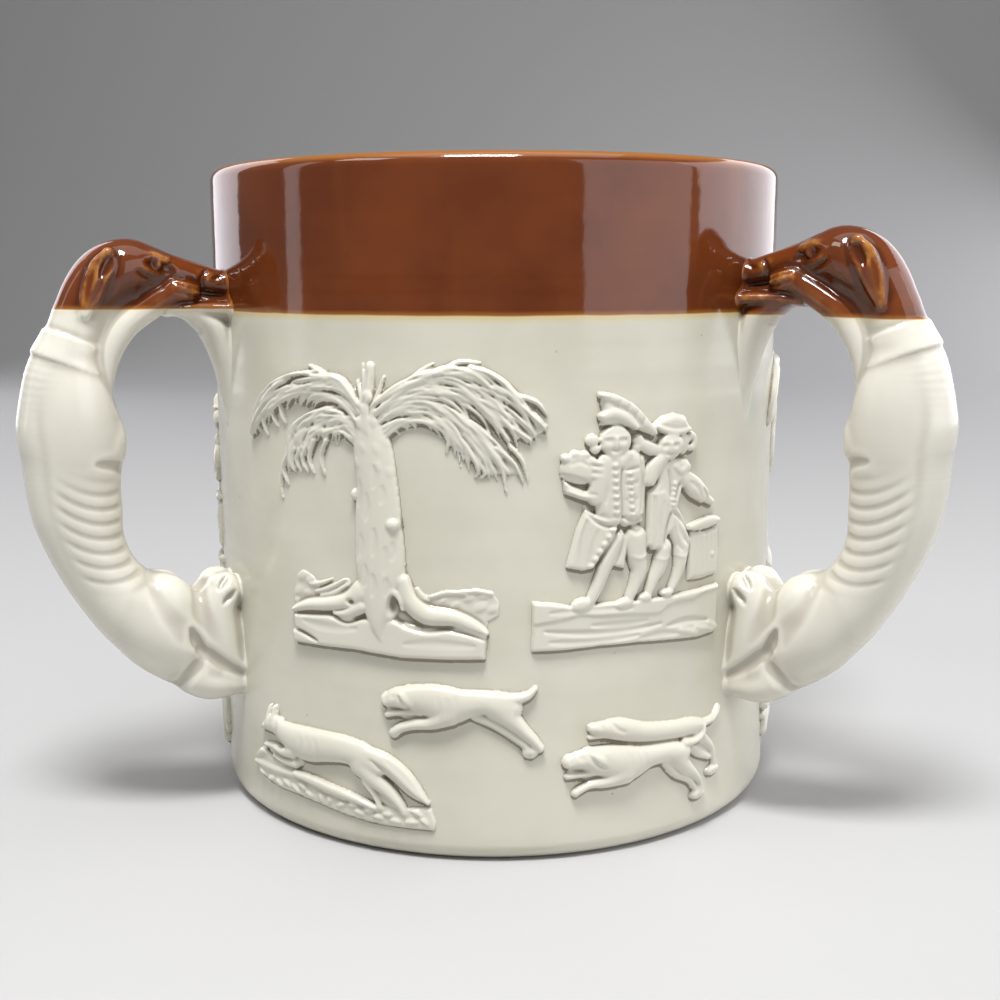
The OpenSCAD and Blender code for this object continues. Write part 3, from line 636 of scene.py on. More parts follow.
def first_coat(r):
    """Flared skirts, then the coat open over the waistcoat."""
    r.plate([(20, 84.6), (23, 83), (28, 82), (28.4, 79.6), (26.6, 77.6), (24.6, 74.4), (22.4, 70.8),
             (19.6, 70.2), (15.6, 71.2), (16.6, 75), (18, 80)], 2.2, 1.1)
    r.plate([(28.8, 80), (30.6, 77.6), (30.2, 70), (27.8, 70.6), (25.6, 71.4), (27.2, 75.4)], 1.9, 0.8)
    r.plate([(23.4, 97), (27, 98), (32.4, 98), (35, 96), (35.6, 90), (35.2, 84), (34.6, 80.6), (30, 79.6),
             (26, 80.6), (22.6, 83), (21.8, 88), (22.4, 93)], 2.6, 2.4)
    r.cut([(28.8, 96), (28.5, 90), (28.9, 82.6), (28, 78.8), (25, 74), (22.8, 70.8)], 0.6, 0.8)
    r.cut([(33.6, 96.4), (34, 90), (33.8, 83.4)], 0.6, 0.7)
    r.cut([(29, 82.4), (31.8, 81.3), (34.6, 82.4)], 0.55, 0.9)
    r.cut([(29.2, 93.2), (32.8, 93.6)], 0.5, 0.6)
    for line in ([(24.4, 94), (25, 90), (24.8, 86)], [(32.4, 91), (32.6, 87), (32.2, 84)],
                 [(29.8, 92), (29.6, 88), (29.8, 84)], [(35, 94), (34.9, 89), (34.7, 85)]):
        r.cut(line, 0.7, 0.3)
    for y in (86.4, 90.2):
        r.cut([(29.4, y), (31, y - 0.6), (32.8, y + 0.2)], 0.5, 0.25)
    r.bead([(20, 85), (22.4, 83), (25, 81.8), (28, 81.5)], 0.7, 0.45)
    r.cut([(20.2, 83.8), (22.6, 81.7), (25.2, 80.5), (28, 80.3)], 0.6, 0.6)
    r.cut([(20.4, 82), (19, 76), (18.6, 71)], 0.8, 0.5)
    r.cut([(23, 79.6), (21.6, 75), (20.8, 71)], 0.8, 0.3)
    r.cut([(30.8, 80), (32.6, 78.6), (34.2, 79.2)], 0.55, 0.7)
    r.cut([(30, 79), (29, 75), (27.4, 71)], 0.55, 0.6)
    buttons(r, (26.8, 94.4), (27.3, 83.6), 7, 0.62)
    buttons(r, (30.6, 92.4), (31.3, 82.9), 7, 0.55)
    buttons(r, (26.8, 79.6), (21.4, 71.4), 6, 0.75)


def first_sleeve_and_tankard(r):
    """Cravat, sleeve and tankard."""
    r.limb([(26.6, 96.6), (28.4, 95), (30.4, 96.6)], [1.0, 1.3, 1.0], 0.6, base=2.2)
    r.limb([(24.6, 95), (23.6, 91), (22.6, 87.4)], [2.0, 2.4, 2.2], [0.9, 1.2, 1.1], base=1.7, soft=0.5)
    r.plate([(14.8, 91.6), (17, 90.2), (20, 89), (23, 89.4), (23.4, 87), (21.4, 85.9), (18.4, 86.9),
             (15.2, 88.2)], 2.5, 1.4)
    r.plate([(14.4, 92), (16.6, 90.6), (20, 90), (22.6, 91), (22.8, 94), (21.8, 96.8), (19, 98), (15.8, 97.2),
             (14.2, 94.4)], 2.7, 2.6, bend=3)
    for x, y in ((15.6, 96.4), (17.6, 97.2), (19.8, 97), (21.4, 95.6)):
        r.dome((x, y), (1.3, 1.0), 0.7, base=1.9)
    r.cut([(14.4, 92.8), (17.4, 91.9), (20.6, 90.6)], 0.6, 0.5)
    r.cut([(16.4, 95), (18.6, 95.6), (20.4, 94.6)], 0.6, 0.3)
    for y in (95.4, 93.8, 92.2):
        r.limb([(21.8, y), (23.6, y - 0.3)], [0.7, 0.6], 0.6, base=2.3)
    r.cut([(15.6, 89.8), (18.6, 88.6), (22.4, 88)], 0.5, 0.5)


def first_head(r):
    """Curls, a plain face and a cocked hat."""
    for x, y, size in ((21.7, 100.2, 1.5), (22.4, 98.2, 1.2), (33, 99.8, 1.4), (32.8, 98.2, 1.1)):
        r.dome((x, y), (size * 1.1, size), 0.9, base=1.4)
    calm_face(r, (27.2, 99.9), (3.9, 3.6), -0.3)
    r.plate([(23.2, 111.2), (26, 110.4), (29.4, 108.8), (32.6, 106.6), (35, 104), (37.8, 101.4),
             (36.8, 100.4), (34, 101.4), (31.6, 102.4), (28, 103.2), (23.4, 103.4), (23.8, 107)], 2.5, 1.2)
    r.limb([(23.6, 110.4), (27, 109.3), (31, 107), (34.4, 103.8), (37.2, 101.2)], [0.7, 1.1, 1.3, 1.2, 0.7],
           0.7, base=2.3)
    r.limb([(24, 105.6), (26.6, 106), (29.4, 104.9), (32, 102.8)], [1.0, 1.3, 1.3, 0.8], 0.9, base=2.5)
    r.cut([(24, 108.6), (27.6, 107.7), (31, 105.6), (33.8, 102.8)], 0.8, 0.2)
    for x, y in ((25.6, 110), (28, 109), (30.2, 107.8), (32.2, 106.2), (34, 104.4)):
        r.cut([(x - 0.5, y - 1.2), (x + 0.4, y + 0.8)], 0.4, 0.35)


def linked_arms(r):
    r.limb([(33.8, 98.8), (36.4, 97.6), (38.8, 97)], [1.4, 1.7, 1.2], 0.9, base=1.5)
    r.limb([(36.2, 90.4), (37.4, 93.2), (40.4, 96)], [1.7, 2.0, 1.4], 1.2, base=1.7)
    r.cut([(35.2, 88.6), (37, 88), (39.2, 89.2)], 0.6, 0.6)


def second_coat(r):
    """Coat, skirts and the sleeve that rests on the keg."""
    r.plate([(38.6, 94.4), (42, 95.2), (47.6, 94.6), (48.4, 91.6), (46, 88), (44.8, 83.4), (47.4, 79.4),
             (48.8, 75), (48.4, 71.8), (44.6, 72.4), (42, 77), (40.6, 73.6), (36.6, 73.6), (35.6, 76),
             (35.6, 87.6), (38, 89.6)], 2.1, 1.5)
    r.plate([(35.4, 75.2), (37, 73.6), (40, 73.8), (41.2, 80), (42, 86), (40.4, 88.2), (36, 88)], 2.4, 1.1)
    r.cut([(40.4, 74.4), (41.2, 79), (42.4, 83)], 0.6, 0.8)
    r.cut([(37.8, 74.6), (37.4, 80), (37.2, 86.4)], 0.8, 0.4)
    r.cut([(39.4, 75), (39.4, 80), (39.8, 85)], 0.7, 0.3)
    r.cut([(42.6, 82.6), (45.4, 80), (48.2, 76.6)], 0.6, 0.8)
    r.cut([(46.6, 91), (44.6, 88.6), (43.4, 85.4)], 0.6, 0.8)
    r.cut([(41, 92.4), (41.8, 89), (41.8, 86)], 0.6, 0.6)
    for line in ([(44, 80.4), (45.4, 77), (47.6, 74)], [(43.2, 78.6), (44, 75.6), (45.6, 73)]):
        r.cut(line, 0.7, 0.4)
    r.limb([(43.2, 93), (45, 91.7), (47, 92.6)], [0.8, 0.9, 1.1], 0.5, base=2.0)
    buttons(r, (42.9, 89), (42.5, 82.8), 6, 0.5)
    r.limb([(46.6, 90), (49.6, 87.6), (52.6, 85.4)], [2.0, 2.6, 2.1], [1.1, 1.4, 1.1], base=1.4, soft=0.5)
    r.limb([(53, 85), (55.8, 83.4)], [1.5, 1.0], 0.8, base=1.2)
    r.cut([(52, 87), (53.4, 84.8), (52.8, 82.8)], 0.5, 0.7)
    r.cut([(47.6, 89), (50, 87.4), (51.4, 85)], 0.7, 0.35)
    r.cut([(45.6, 86.2), (48.4, 84), (52.4, 82.8)], 0.55, 0.6)


def second_head(r):
    """A plain face, tied hair and a low hat."""
    r.dome((45.6, 98.2), (1.8, 2.8), 0.9, base=1.3)
    calm_face(r, (41.8, 97.9), (3.3, 3.2), -0.6)
    r.limb([(46.6, 98.4), (48.4, 99.9), (49.3, 98.8), (48.9, 97.2), (47.4, 97)], [0.9, 1.0, 0.9, 1.0, 0.8],
           0.8, base=1.2)
    r.plate([(37.2, 103.6), (39.6, 105), (43, 105.5), (46.4, 104.6), (47.8, 102.2), (46.6, 101), (43, 100.8),
             (40, 101.6), (37.8, 102.4)], 2.4, 1.6)
    r.limb([(37.2, 102.8), (40, 101.6), (43.4, 100.9), (47.4, 101.4)], [0.6, 0.8, 0.8, 0.6], 0.5, base=2.2)


def drinkers():
    """Two drinkers arm in arm, laid from the ground up."""
    r = Relief((5, 48), (62, 113), FIGURE_STEP)
    for part in (drinkers_ground, keg, drinkers_legs, first_coat, first_sleeve_and_tankard, first_head,
                 linked_arms, second_coat, second_head):
        part(r)
    r.wear(2)
    return r.mesh("drinkers_relief", DRINKERS_SHARE)


def toe_slots(r, places):
    for x, y in places:
        r.cut([(x, y - 0.9), (x + 0.2, y + 0.7)], 0.35, 0.5)


def rib_slots(r, places, high, middle, low, bow=0.5):
    for x in places:
        r.cut([(x, high), (x + bow, middle), (x + 0.2, low)], 0.8, 0.18)


def hound_head(r, muzzle, poll):
    """Blunt head from muzzle to poll, with a jaw, a small drop ear and a brow."""
    run = np.subtract(poll, muzzle)
    rise = 3.1
    jaw = rise - 1.1

    def spot(t, lift):
        return tuple(np.add(muzzle, run * t + np.array([0, lift])))

    r.limb([spot(-0.06, -3.6), spot(0.4, -3.4), spot(1.06, -3.5), spot(1.4, -4.4)], [0.9, 0.8, 0.75, 0.4],
           [jaw * 0.85, jaw, jaw, jaw * 0.9])
    r.limb([spot(0, 0), spot(0.45, 0.2), spot(1, 0)], [2.0, 2.7, 3.0], [rise - 0.5, rise, rise], power=0.45)
    r.limb([spot(0.6, 1.3), spot(0.82, -0.2), spot(1.04, -1.6)], [0.7, 1.2, 0.5], [0.8, 1.0, 0.6],
           base=rise - 0.5, soft=0.1)
    r.cut([spot(0.5, 1.4), spot(0.66, -0.6), spot(0.94, -2.2)], 0.5, 0.5)
    r.cut([spot(0.06, 2), spot(-0.02, -0.4)], 0.6, 0.4)
    r.dent(spot(0.28, 1.1), (0.8, 0.6), 0.55)
    r.knob(spot(0.28, 1.1), (0.4, 0.35), 0.3)
    r.cut([spot(-0.3, -1.6), spot(0.1, -1.5), spot(0.6, -2.2)], 0.4, 0.35)


def hound():
    r = Relief((-31, 23), (15, 47))
    # The far hind leg lies lower than the near one
    r.limb([(-5, 37), (-1, 34.9), (3, 32.3), (6, 30), (7.4, 28.4)], [1.6, 1.2, 1.1, 1.1, 1.2], 1.5)
    r.dome((7.7, 27.9), (1.9, 1.7), 1.4, base=0.4)
    # Body, from the neck to the rump, and the legs
    r.limb([(-20, 40.6), (-15, 40), (-10, 39.2), (-5, 40), (0, 39.8), (3, 38.6)],
           [3.2, 4.2, 4.5, 3.1, 3.1, 3.0], [2.8, 3.2, 3.3, 3.0, 3.1, 2.9], power=0.45)
    r.limb([(0, 39), (3, 36.4), (5.7, 33.6), (8.2, 31), (9.9, 28.8)], [3.4, 2.6, 1.8, 1.4, 1.2],
           [3.1, 3.0, 2.7, 2.4, 2.0], soft=0.8)
    r.limb([(-11, 37), (-15, 34.9), (-19, 34.1), (-22.4, 33), (-24.2, 31.5)], [3.0, 1.9, 1.4, 1.3, 1.4],
           [3.1, 2.8, 2.4, 2.2, 2.1], soft=0.8)
    r.limb([(0, 41.2), (4, 40.9), (7, 41.6), (8.8, 43.2)], [1.7, 1.5, 1.2, 0.7], [2.6, 2.4, 2.2, 1.7],
           soft=0.6)
    r.limb([(-25, 37.2), (-20, 36.4), (-14, 35.6)], [1.2, 1.8, 1.6], 1.0)
    r.limb([(-4, 36.6), (1, 34.6), (6, 31.6)], 1.2, 1.2)
    hound_head(r, (-25.6, 39.6), (-19.6, 40.6))
    toe_slots(r, ((-24.8, 31.2), (-23.8, 30.9), (7.2, 27.2), (8.4, 27)))
    rib_slots(r, (-13.4, -11.4, -9.4), 41.6, 39, 36.8)
    r.wear(2)
    return r.mesh("hound_relief")


def hound_pair():
    r = Relief((12, 6), (65, 37))
    # The far hound: hind legs, body, tail, muzzle and jaw
    r.limb([(52, 26.4), (56, 23.8), (58.8, 20.8), (59.6, 17)], [1.9, 1.5, 1.1, 0.9], 1.6)
    r.limb([(49.6, 24), (53.4, 21), (57.6, 18.8)], [1.6, 1.2, 0.8], 1.3)
    r.dome((59.2, 15.2), (2.8, 1.5), 1.5, base=0.3)
    r.limb([(24, 32.2), (29, 31.6), (36, 29.8), (44, 28.8), (50, 28.4), (53.6, 28)],
           [1.9, 2.9, 2.6, 2.5, 2.5, 2.0], [2.0, 2.3, 2.1, 2.1, 2.0, 1.9])
    r.limb([(52, 28.6), (55.6, 28.3), (58.6, 28.6), (60.6, 30), (61.4, 31.2)], [1.4, 1.2, 1.2, 1.0, 0.6],
           [1.9, 1.8, 1.7, 1.6, 1.3])
    r.limb([(22.4, 32.6), (25.6, 32.4)], [1.3, 1.8], [2.0, 2.2])
    r.limb([(21.8, 30.4), (25, 30.4), (28.6, 29.6)], [0.6, 0.7, 0.5], 1.5)
    # The near hound
    r.limb([(42, 21.6), (45.6, 17.4), (50, 14.9), (52.6, 12)], [1.4, 1.1, 1.0, 1.0], 1.5)
    r.limb([(21.6, 25.2), (26, 24.2), (32, 23), (38, 23.8), (44, 23.6), (47.6, 22.6)],
           [3.2, 4.2, 4.6, 3.0, 2.9, 2.8], [2.8, 3.2, 3.3, 3.0, 3.0, 2.9], power=0.45)
    r.limb([(45, 23), (48.6, 18.9), (51.6, 16.4), (53.9, 13.5), (53.8, 11)], [3.2, 2.3, 1.4, 1.1, 1.2],
           [3.1, 2.9, 2.5, 2.2, 2.0], soft=0.8)
    r.dome((53.5, 10.5), (2.8, 1.5), 1.6, base=0.4)
    r.limb([(31, 20.6), (26, 19.3), (22, 19), (19.8, 18.1), (18.4, 17.1)], [3.0, 1.8, 1.2, 1.1, 1.1],
           [3.1, 2.8, 2.4, 2.2, 2.1], soft=0.8)
    r.limb([(48, 25), (51.6, 24.9), (54, 26), (54.7, 27.8)], [1.5, 1.2, 1.1, 0.6], [2.7, 2.6, 2.6, 2.4])
    r.limb([(17.4, 22.4), (22, 21.4), (28, 20.6)], [1.2, 1.8, 1.6], 1.0)
    r.limb([(43, 20.4), (46.6, 17.4), (51, 15)], 1.2, 1.2)
    r.limb([(50, 25), (54, 22.4), (58, 19.4)], 1.4, 0.7)
    r.limb([(23, 31.6), (27, 30.6), (32, 28.8), (42, 27)], 1.2, 1.0)
    hound_head(r, (17, 25), (25.6, 25.2))
    toe_slots(r, ((18, 16.6), (19, 16.8), (52.8, 10), (54.2, 10), (58.4, 14.8), (59.8, 14.8)))
    rib_slots(r, (31, 33, 35), 25.8, 23, 20.6)
    r.dent((24.4, 33), (0.6, 0.5), 0.4)
    r.cut([(27, 33.6), (28.4, 32), (30.4, 31)], 0.5, 0.4)
    r.wear(2)
    return r.mesh("hound_pair_relief")


def fox():
    r = Relief((-74, 5), (-12, 34))
    # Leafy bank, with a ridge along its top
    r.plate([(-71, 14.4), (-70.2, 17), (-68, 19.2), (-65.6, 19.6), (-62, 18), (-52, 17.4), (-46, 16.8),
             (-38, 15.6), (-30, 13.8), (-24, 13), (-18, 14), (-15.4, 13.8), (-14.2, 10), (-14.6, 8.2),
             (-20, 8.2), (-30, 8.4), (-38, 9.2), (-45, 10.2), (-52, 10.8), (-60, 10.8), (-66, 11.6),
             (-69.6, 12.8)], 1.0, 0.7)
    r.limb([(-53, 16.3), (-48, 16), (-41, 14.9), (-34, 13.8), (-29, 12.4)], [0.8, 1.2, 1.3, 1.0, 0.5],
           0.9, base=1.2)
    r.limb([(-70.4, 15), (-66, 15.2), (-60, 15.4), (-54, 15.8)], [0.7, 0.9, 0.8, 0.5], 0.6, base=1.1)
    r.limb([(-69.4, 16.6), (-67.6, 18.2), (-65.4, 18.9)], [0.7, 1.0, 0.8], 0.5, base=1.1)
    for x, y, lean, long in ((-67, 12.9, -10, 2.2), (-63, 12.4, 15, 2), (-59.6, 12.2, -15, 2),
                             (-56.4, 12.9, -20, 2.4), (-53, 12.3, -25, 2.4), (-50.6, 13.5, -20, 2.4),
                             (-48.4, 12, -15, 2), (-44.8, 12.2, -70, 1.8), (-42, 12, 70, 1.6),
                             (-38.6, 11.5, 20, 1.8), (-35.4, 12, 5, 1.8), (-33.6, 10.6, -10, 2),
                             (-31, 11.4, 5, 1.6), (-28.6, 10.2, -5, 1.8), (-26, 11.2, 10, 1.6),
                             (-24, 9.8, -5, 2), (-20, 10, 5, 2.2), (-18.8, 12.4, -25, 2.4),
                             (-17, 10.4, -35, 2)):
        way = np.array([math.cos(math.radians(lean)), math.sin(math.radians(lean))]) * long * 0.6
        leaf = [(x - way[0], y - way[1]), (x, y + 0.2), (x + way[0], y + way[1])]
        r.limb(leaf, [0.3, 0.75, 0.25], 0.85, base=0.9, soft=0.1)
    # Far hind leg, and the forelegs, on a low skin
    r.limb([(-52, 20), (-57, 19.8), (-63, 20)], [1.8, 1.4, 1.0], 1.1)
    r.limb([(-31, 19), (-28, 16), (-24, 13.6)], [1.6, 1.8, 1.4], 1.1)
    r.limb([(-31.6, 18.6), (-29.4, 15.6), (-28, 12.6)], [1.4, 0.9, 0.8], [2.2, 1.9, 1.8])
    r.limb([(-53, 18.8), (-57, 18.5), (-61.6, 18.8)], [1.4, 1.0, 0.8], [2.0, 1.9, 1.7])
    r.limb([(-54, 21.8), (-57.6, 20.9), (-61.6, 21.3), (-65.2, 20.8)], [2.2, 1.3, 1.0, 0.8],
           [2.8, 2.4, 2.1, 1.8])
    # Body and brush
    r.limb([(-59, 26.4), (-54, 25.2), (-49, 24.7), (-43, 25.3), (-37, 25.6), (-32, 24.4), (-28.6, 22.6)],
           [2.6, 3.8, 4.5, 4.0, 3.6, 3.6, 2.6], [2.7, 3.1, 3.2, 3.1, 3.0, 3.0, 2.7], power=0.45)
    r.limb([(-31, 25.8), (-27, 24.2), (-23, 21.4), (-19.4, 17.9), (-16.2, 15)], [1.8, 2.4, 2.6, 2.0, 0.6],
           [2.7, 2.9, 2.9, 2.5, 1.7], power=0.45)
    r.limb([(-33, 22.6), (-29, 19.4), (-25.4, 16.7), (-22.8, 13.9), (-22, 12)], [3.2, 2.3, 1.8, 1.2, 0.9],
           [3.0, 2.8, 2.5, 2.2, 1.9], soft=0.6)
    r.cut([(-29.4, 24.6), (-26.6, 22.4), (-24, 19.8), (-20, 17.2), (-16.6, 14.9)], 0.5, 0.6)
    # Head with its pricked ears
    r.limb([(-59, 27.2), (-62, 27), (-64.4, 26), (-66.4, 25)], [2.4, 2.5, 1.5, 0.6], [2.9, 3.0, 2.5, 1.9],
           power=0.45)
    r.limb([(-62.8, 28.6), (-62.8, 31.4)], [0.75, 0.45], [2.8, 1.9])
    r.limb([(-60.7, 28.8), (-60.7, 31.7)], [1.1, 0.5], [3.0, 2.1])
    r.cut([(-60.7, 29), (-60.7, 31.2)], 0.4, 0.35)
    r.dent((-64, 27), (0.6, 0.5), 0.5)
    r.cut([(-59.4, 29), (-58.6, 26.6), (-59.6, 24.8)], 0.6, 0.35)
    rib_slots(r, (-50, -47.6, -45.2), 27.2, 24.6, 22.2, bow=0.6)
    for line in ([(-27, 23.6), (-23.4, 20.6), (-19.6, 17)], [(-26, 25), (-22.2, 22.2), (-18.2, 18)]):
        r.cut(line, 0.6, 0.3)
    r.wear(2)
    return r.mesh("fox_relief")


# Hound handles

def joined(a, b, soft):
    """Union of two solids given as distances, with a fillet."""
    t = np.clip(0.5 + 0.5 * (b - a) / soft, 0, 1)
    return b + (a - b) * t - soft * t * (1 - t)


class HoundField:
    """Distances to the handle's surface, with out from the axis, across the hound and up as axes.
    The hound is alike on both sides, so across is taken without its sign."""

    def __init__(self):
        self.out = np.arange(70.4, 128.4, HOUND_STEP)
        half = np.arange(HOUND_STEP / 2, 15.2, HOUND_STEP)
        self.across = np.concatenate([-half[::-1], half])
        self.up = np.arange(25.6, 150, HOUND_STEP)
        self.r, self.z = np.meshgrid(self.out, self.up, indexing="ij")
        self.y = np.abs(self.across)[None, :, None]

    def oval(self, deep_away, wide_away, deep, wide):
        scaled = np.sqrt((deep_away / deep) ** 2 + (wide_away / wide) ** 2)
        slope = np.sqrt((deep_away / deep**2) ** 2 + (wide_away / wide**2) ** 2)
        return scaled * (scaled - 1) / np.maximum(slope, 1e-6)

    def tube(self, stations, along=0.0):
        """A limb through stations of out, up, half depth and half width."""
        distance, (deep, wide) = nearest(smooth_line(stations, 7), self.r, self.z)
        return self.oval(distance[:, None, :], self.y - along, deep[:, None, :], wide[:, None, :])

    def egg(self, centre, radii, lean, along, half):
        c, s = math.cos(math.radians(lean)), math.sin(math.radians(lean))
        x, z = self.r - centre[0], self.z - centre[1]
        a, b = (x * c + z * s) / radii[0], (z * c - x * s) / radii[1]
        y = (self.y - along) / half
        flat = (a**2 + b**2)[:, None, :]
        flat_slope = ((a / radii[0]) ** 2 + (b / radii[1]) ** 2)[:, None, :]
        scaled = np.sqrt(flat + y**2)
        slope = np.sqrt(flat_slope + (y / half) ** 2)
        return scaled * (scaled - 1) / np.maximum(slope, 1e-6)

    def groove(self, points, half):
        """1 on a line, falling softly to 0 at its sides and towards its ends."""
        line = smooth_line(points, 5)
        taper = np.sin(np.linspace(0.25, math.pi - 0.25, len(line))) ** 0.5
        distance, (fade,) = nearest(np.column_stack([line, taper]), self.r, self.z)
        share = np.clip(1 - (distance / (half * fade)) ** 2, 0, 1)
        return (fade * share**1.5)[:, None, :]

    def beyond(self, low, high):
        """0 near the middle plane, 1 towards the hound's sides."""
        return smooth_step(low, high, self.y)


# Stations of out, up, half depth and half width, from the collar to the rump and from the neck to the nose
TORSO = [(110.5, 126.5, 5.9, 6.4), (112.1, 121, 7.3, 7.4), (114.2, 113, 9.4, 9), (113.9, 103, 12.1, 10.6),
         (113.2, 96, 12.3, 11), (113.5, 88, 11.3, 10.2), (112.8, 80, 10.7, 9.6), (111, 71.5, 9.3, 9),
         (107.3, 63.4, 8.8, 8.8), (101.5, 56, 9.8, 9.6), (93.8, 49.2, 11.2, 10), (87, 42.5, 9.8, 9),
         (81, 38, 6.4, 7.6)]
HEAD = [(112, 118, 6, 6.4), (110.5, 126.5, 5.9, 6.6), (107.6, 132.8, 6.4, 7.2), (103.4, 137, 7.3, 7.8),
        (98.4, 139, 7.2, 7.6), (93.4, 138.8, 5.9, 6.6), (88, 138, 4.4, 5.3), (80, 136.2, 3.6, 4.6),
        (72, 134.4, 2.9, 4)]


def ribbed_torso(f):
    r, z = f.r, f.z
    torso = f.tube(TORSO)
    # Ribs: grooves that bow downwards, fading towards the spine, the chest and the belly
    phase = (z - 0.034 * (r - 106.5) ** 2 - 60.4) / 3.6
    spine, (deep,) = nearest(smooth_line([t[:3] for t in TORSO], 7), r, z)
    middle = np.interp(z, [t[1] for t in TORSO[::-1]], [t[0] for t in TORSO[::-1]])
    outer = np.where(r > middle, spine / deep, -spine / deep)
    fade = smooth_step(60, 65, z) * (1 - smooth_step(82, 93, z)) * (1 - smooth_step(0.3, 0.66, outer))
    fade *= smooth_step(-1.0, -0.75, outer)
    ribs = (0.5 + 0.5 * np.cos(2 * math.pi * phase)) ** 2 * fade
    torso += 0.25 * ribs[:, None, :] * f.beyond(2.5, 6)
    # Shallow furrow beside the spine
    furrow = np.exp(-((outer - 0.62) / 0.1) ** 2) * smooth_step(60, 70, z) * (1 - smooth_step(100, 112, z))
    torso += 0.08 * furrow[:, None, :] * f.beyond(2, 5)
    return torso


def with_collar_and_chest(f, body):
    r, z = f.r, f.z
    # Collar, a raised band that slopes down towards the chest
    top_edge = z - (120.4 + (r - 106) * 5 / 12.8)
    low_edge = z - (113.6 + (r - 105.5) * 6 / 16)
    band = smooth_step(0.9, -0.6, top_edge) * smooth_step(-0.5, 0.3, low_edge)
    body -= 0.6 * band[:, None, :]
    # Chest over its crease, and shoulder blades
    body = joined(body, f.egg((106.6, 97), (5.6, 6.4), 10, 0, 7.2), 2.0)
    body += 0.6 * f.groove([(97, 89.8), (101.4, 90.8), (105, 92.4), (109, 93.2)], 2.4) * f.beyond(0, 1)
    return joined(body, f.egg((112.4, 105), (7.4, 13), 6, 4.6, 6.1), 3.0)


def with_haunches(f, body):
    """Thigh, hind foot and hock as three lobes that meet in creases, and slots between the toes."""
    body = joined(body, f.egg((94, 51), (9.4, 13), -42, 4, 6.6), 2.4)
    body = joined(body, f.egg((93, 57), (6.2, 6.4), 0, 3, 6.4), 3.0)
    foot = f.tube([(78.6, 58.2, 4.6, 4.6), (80.6, 53.6, 5.4, 5), (80, 46, 6, 5.2), (77, 40, 4.4, 4.6),
                   (73, 37, 3, 4)], 4.2)
    body = joined(body, foot, 3.2)
    body = joined(body, f.tube([(78.4, 58, 3.8, 6), (80, 52, 5, 6), (78, 44, 5, 6)]), 2.0)
    hock = f.tube([(86.4, 37, 5.4, 5.4), (82.4, 34.8, 5.0, 5.4), (76, 34, 3.6, 4.6)], 3.6)
    body = joined(body, hock, 1.8)
    under_foot = f.groove([(88.4, 50.2), (87, 46.2), (84.6, 43.6), (80, 40), (73, 35.4)], 2.3)
    body += 0.9 * under_foot * f.beyond(2.5, 5)
    body += 0.5 * f.groove([(88, 49.4), (87, 46.2), (85.4, 44)], 2.4) * f.beyond(3, 6)
    body += 0.6 * f.groove([(86.2, 45.4), (86.8, 42), (88.8, 38.4), (92.6, 33.4)], 2.6) * f.beyond(2.5, 5)
    body += 0.5 * f.groove([(97, 62), (94, 56), (90, 49), (86.6, 47)], 3.8) * f.beyond(4, 8)
    for start, end in (((80.8, 59.4), (78, 62.2)), ((80, 55.8), (76.8, 58.8))):
        body += 1.1 * f.groove([start, end], 1.2) * f.beyond(4, 6.5)
    return body


def with_forelegs_and_strap(f, body):
    # Forelegs along the chest and over the arch, below the throat
    leg = f.tube([(108, 98, 2.4, 3), (107.4, 108, 3.3, 3.4), (105.2, 117.4, 3.4, 3.4), (100.6, 125, 3.4, 3.5),
                  (94, 130, 3.3, 3.6), (88.6, 133, 3.3, 3.8), (85.4, 133.4, 2.9, 3.4)], 3.2)
    throat = f.tube([(107, 124, 4.6, 4.6), (99, 130.4, 4.3, 4.6), (92, 134, 3, 3.8), (86, 135, 2, 3)])
    body = joined(body, throat, 2.6)
    body = joined(body, leg, 0.7)
    # Strap below the paws, drawn down the wall to a point
    strap = f.tube([(89.4, 129, 1.7, 5.6), (84, 129.6, 2.1, 6.4), (77, 129.4, 2.4, 7), (71, 129, 2.6, 7.2)])
    body = joined(body, strap, 0.8)
    tongue = f.tube([(85, 128.6, 1.6, 5.4), (78.4, 125, 3.8, 6.2), (75.6, 117, 3, 5.2), (74.4, 108, 2, 3.4),
                     (73.6, 101, 1.4, 1.6)])
    return joined(body, tongue, 1.6)


def with_ears_and_eyes(f, body):
    # Folded ears
    ear = f.tube([(103.6, 142.4, 1.6, 1.3), (104.8, 139.8, 2.9, 1.8), (106.6, 136, 2.8, 1.8),
                  (108.4, 132, 2.3, 1.6), (109.8, 128.4, 1.2, 1.2)], 6.6)
    body = joined(body, ear, 0.7)
    body += 1.4 * f.groove([(103.2, 142.2), (104.4, 140), (105.8, 137.4)], 1.8) * f.beyond(5.5, 7)
    body += 0.4 * f.groove([(105.4, 138), (107, 134), (109.4, 129)], 1.3) * f.beyond(5.5, 7)
    body += 0.45 * f.groove([(106, 140.6), (108, 136.8), (109.6, 131)], 1.1) * f.beyond(5.5, 7)
    body += 0.3 * f.groove([(101, 143), (102.4, 137.4), (105, 132), (107.6, 127.6)], 1.6) * f.beyond(4.5, 6.5)
    # Eyes under their brows
    body += 1.2 * f.groove([(94.4, 140.2), (91.8, 139.6), (88.6, 138.6)], 2.2) * f.beyond(3, 5)
    body = joined(body, f.egg((92, 139.8), (1.2, 1.0), 15, 4.9, 1.2), 0.5)
    brow = f.tube([(97, 141.4, 0.9, 0.9), (93.6, 142, 1.0, 1.2), (90, 140.9, 0.7, 0.9)], 4.6)
    body = joined(body, brow, 1.3)
    body += 0.5 * f.groove([(97, 138.4), (93, 136.8), (89, 137)], 1.4) * f.beyond(4, 6)
    return body


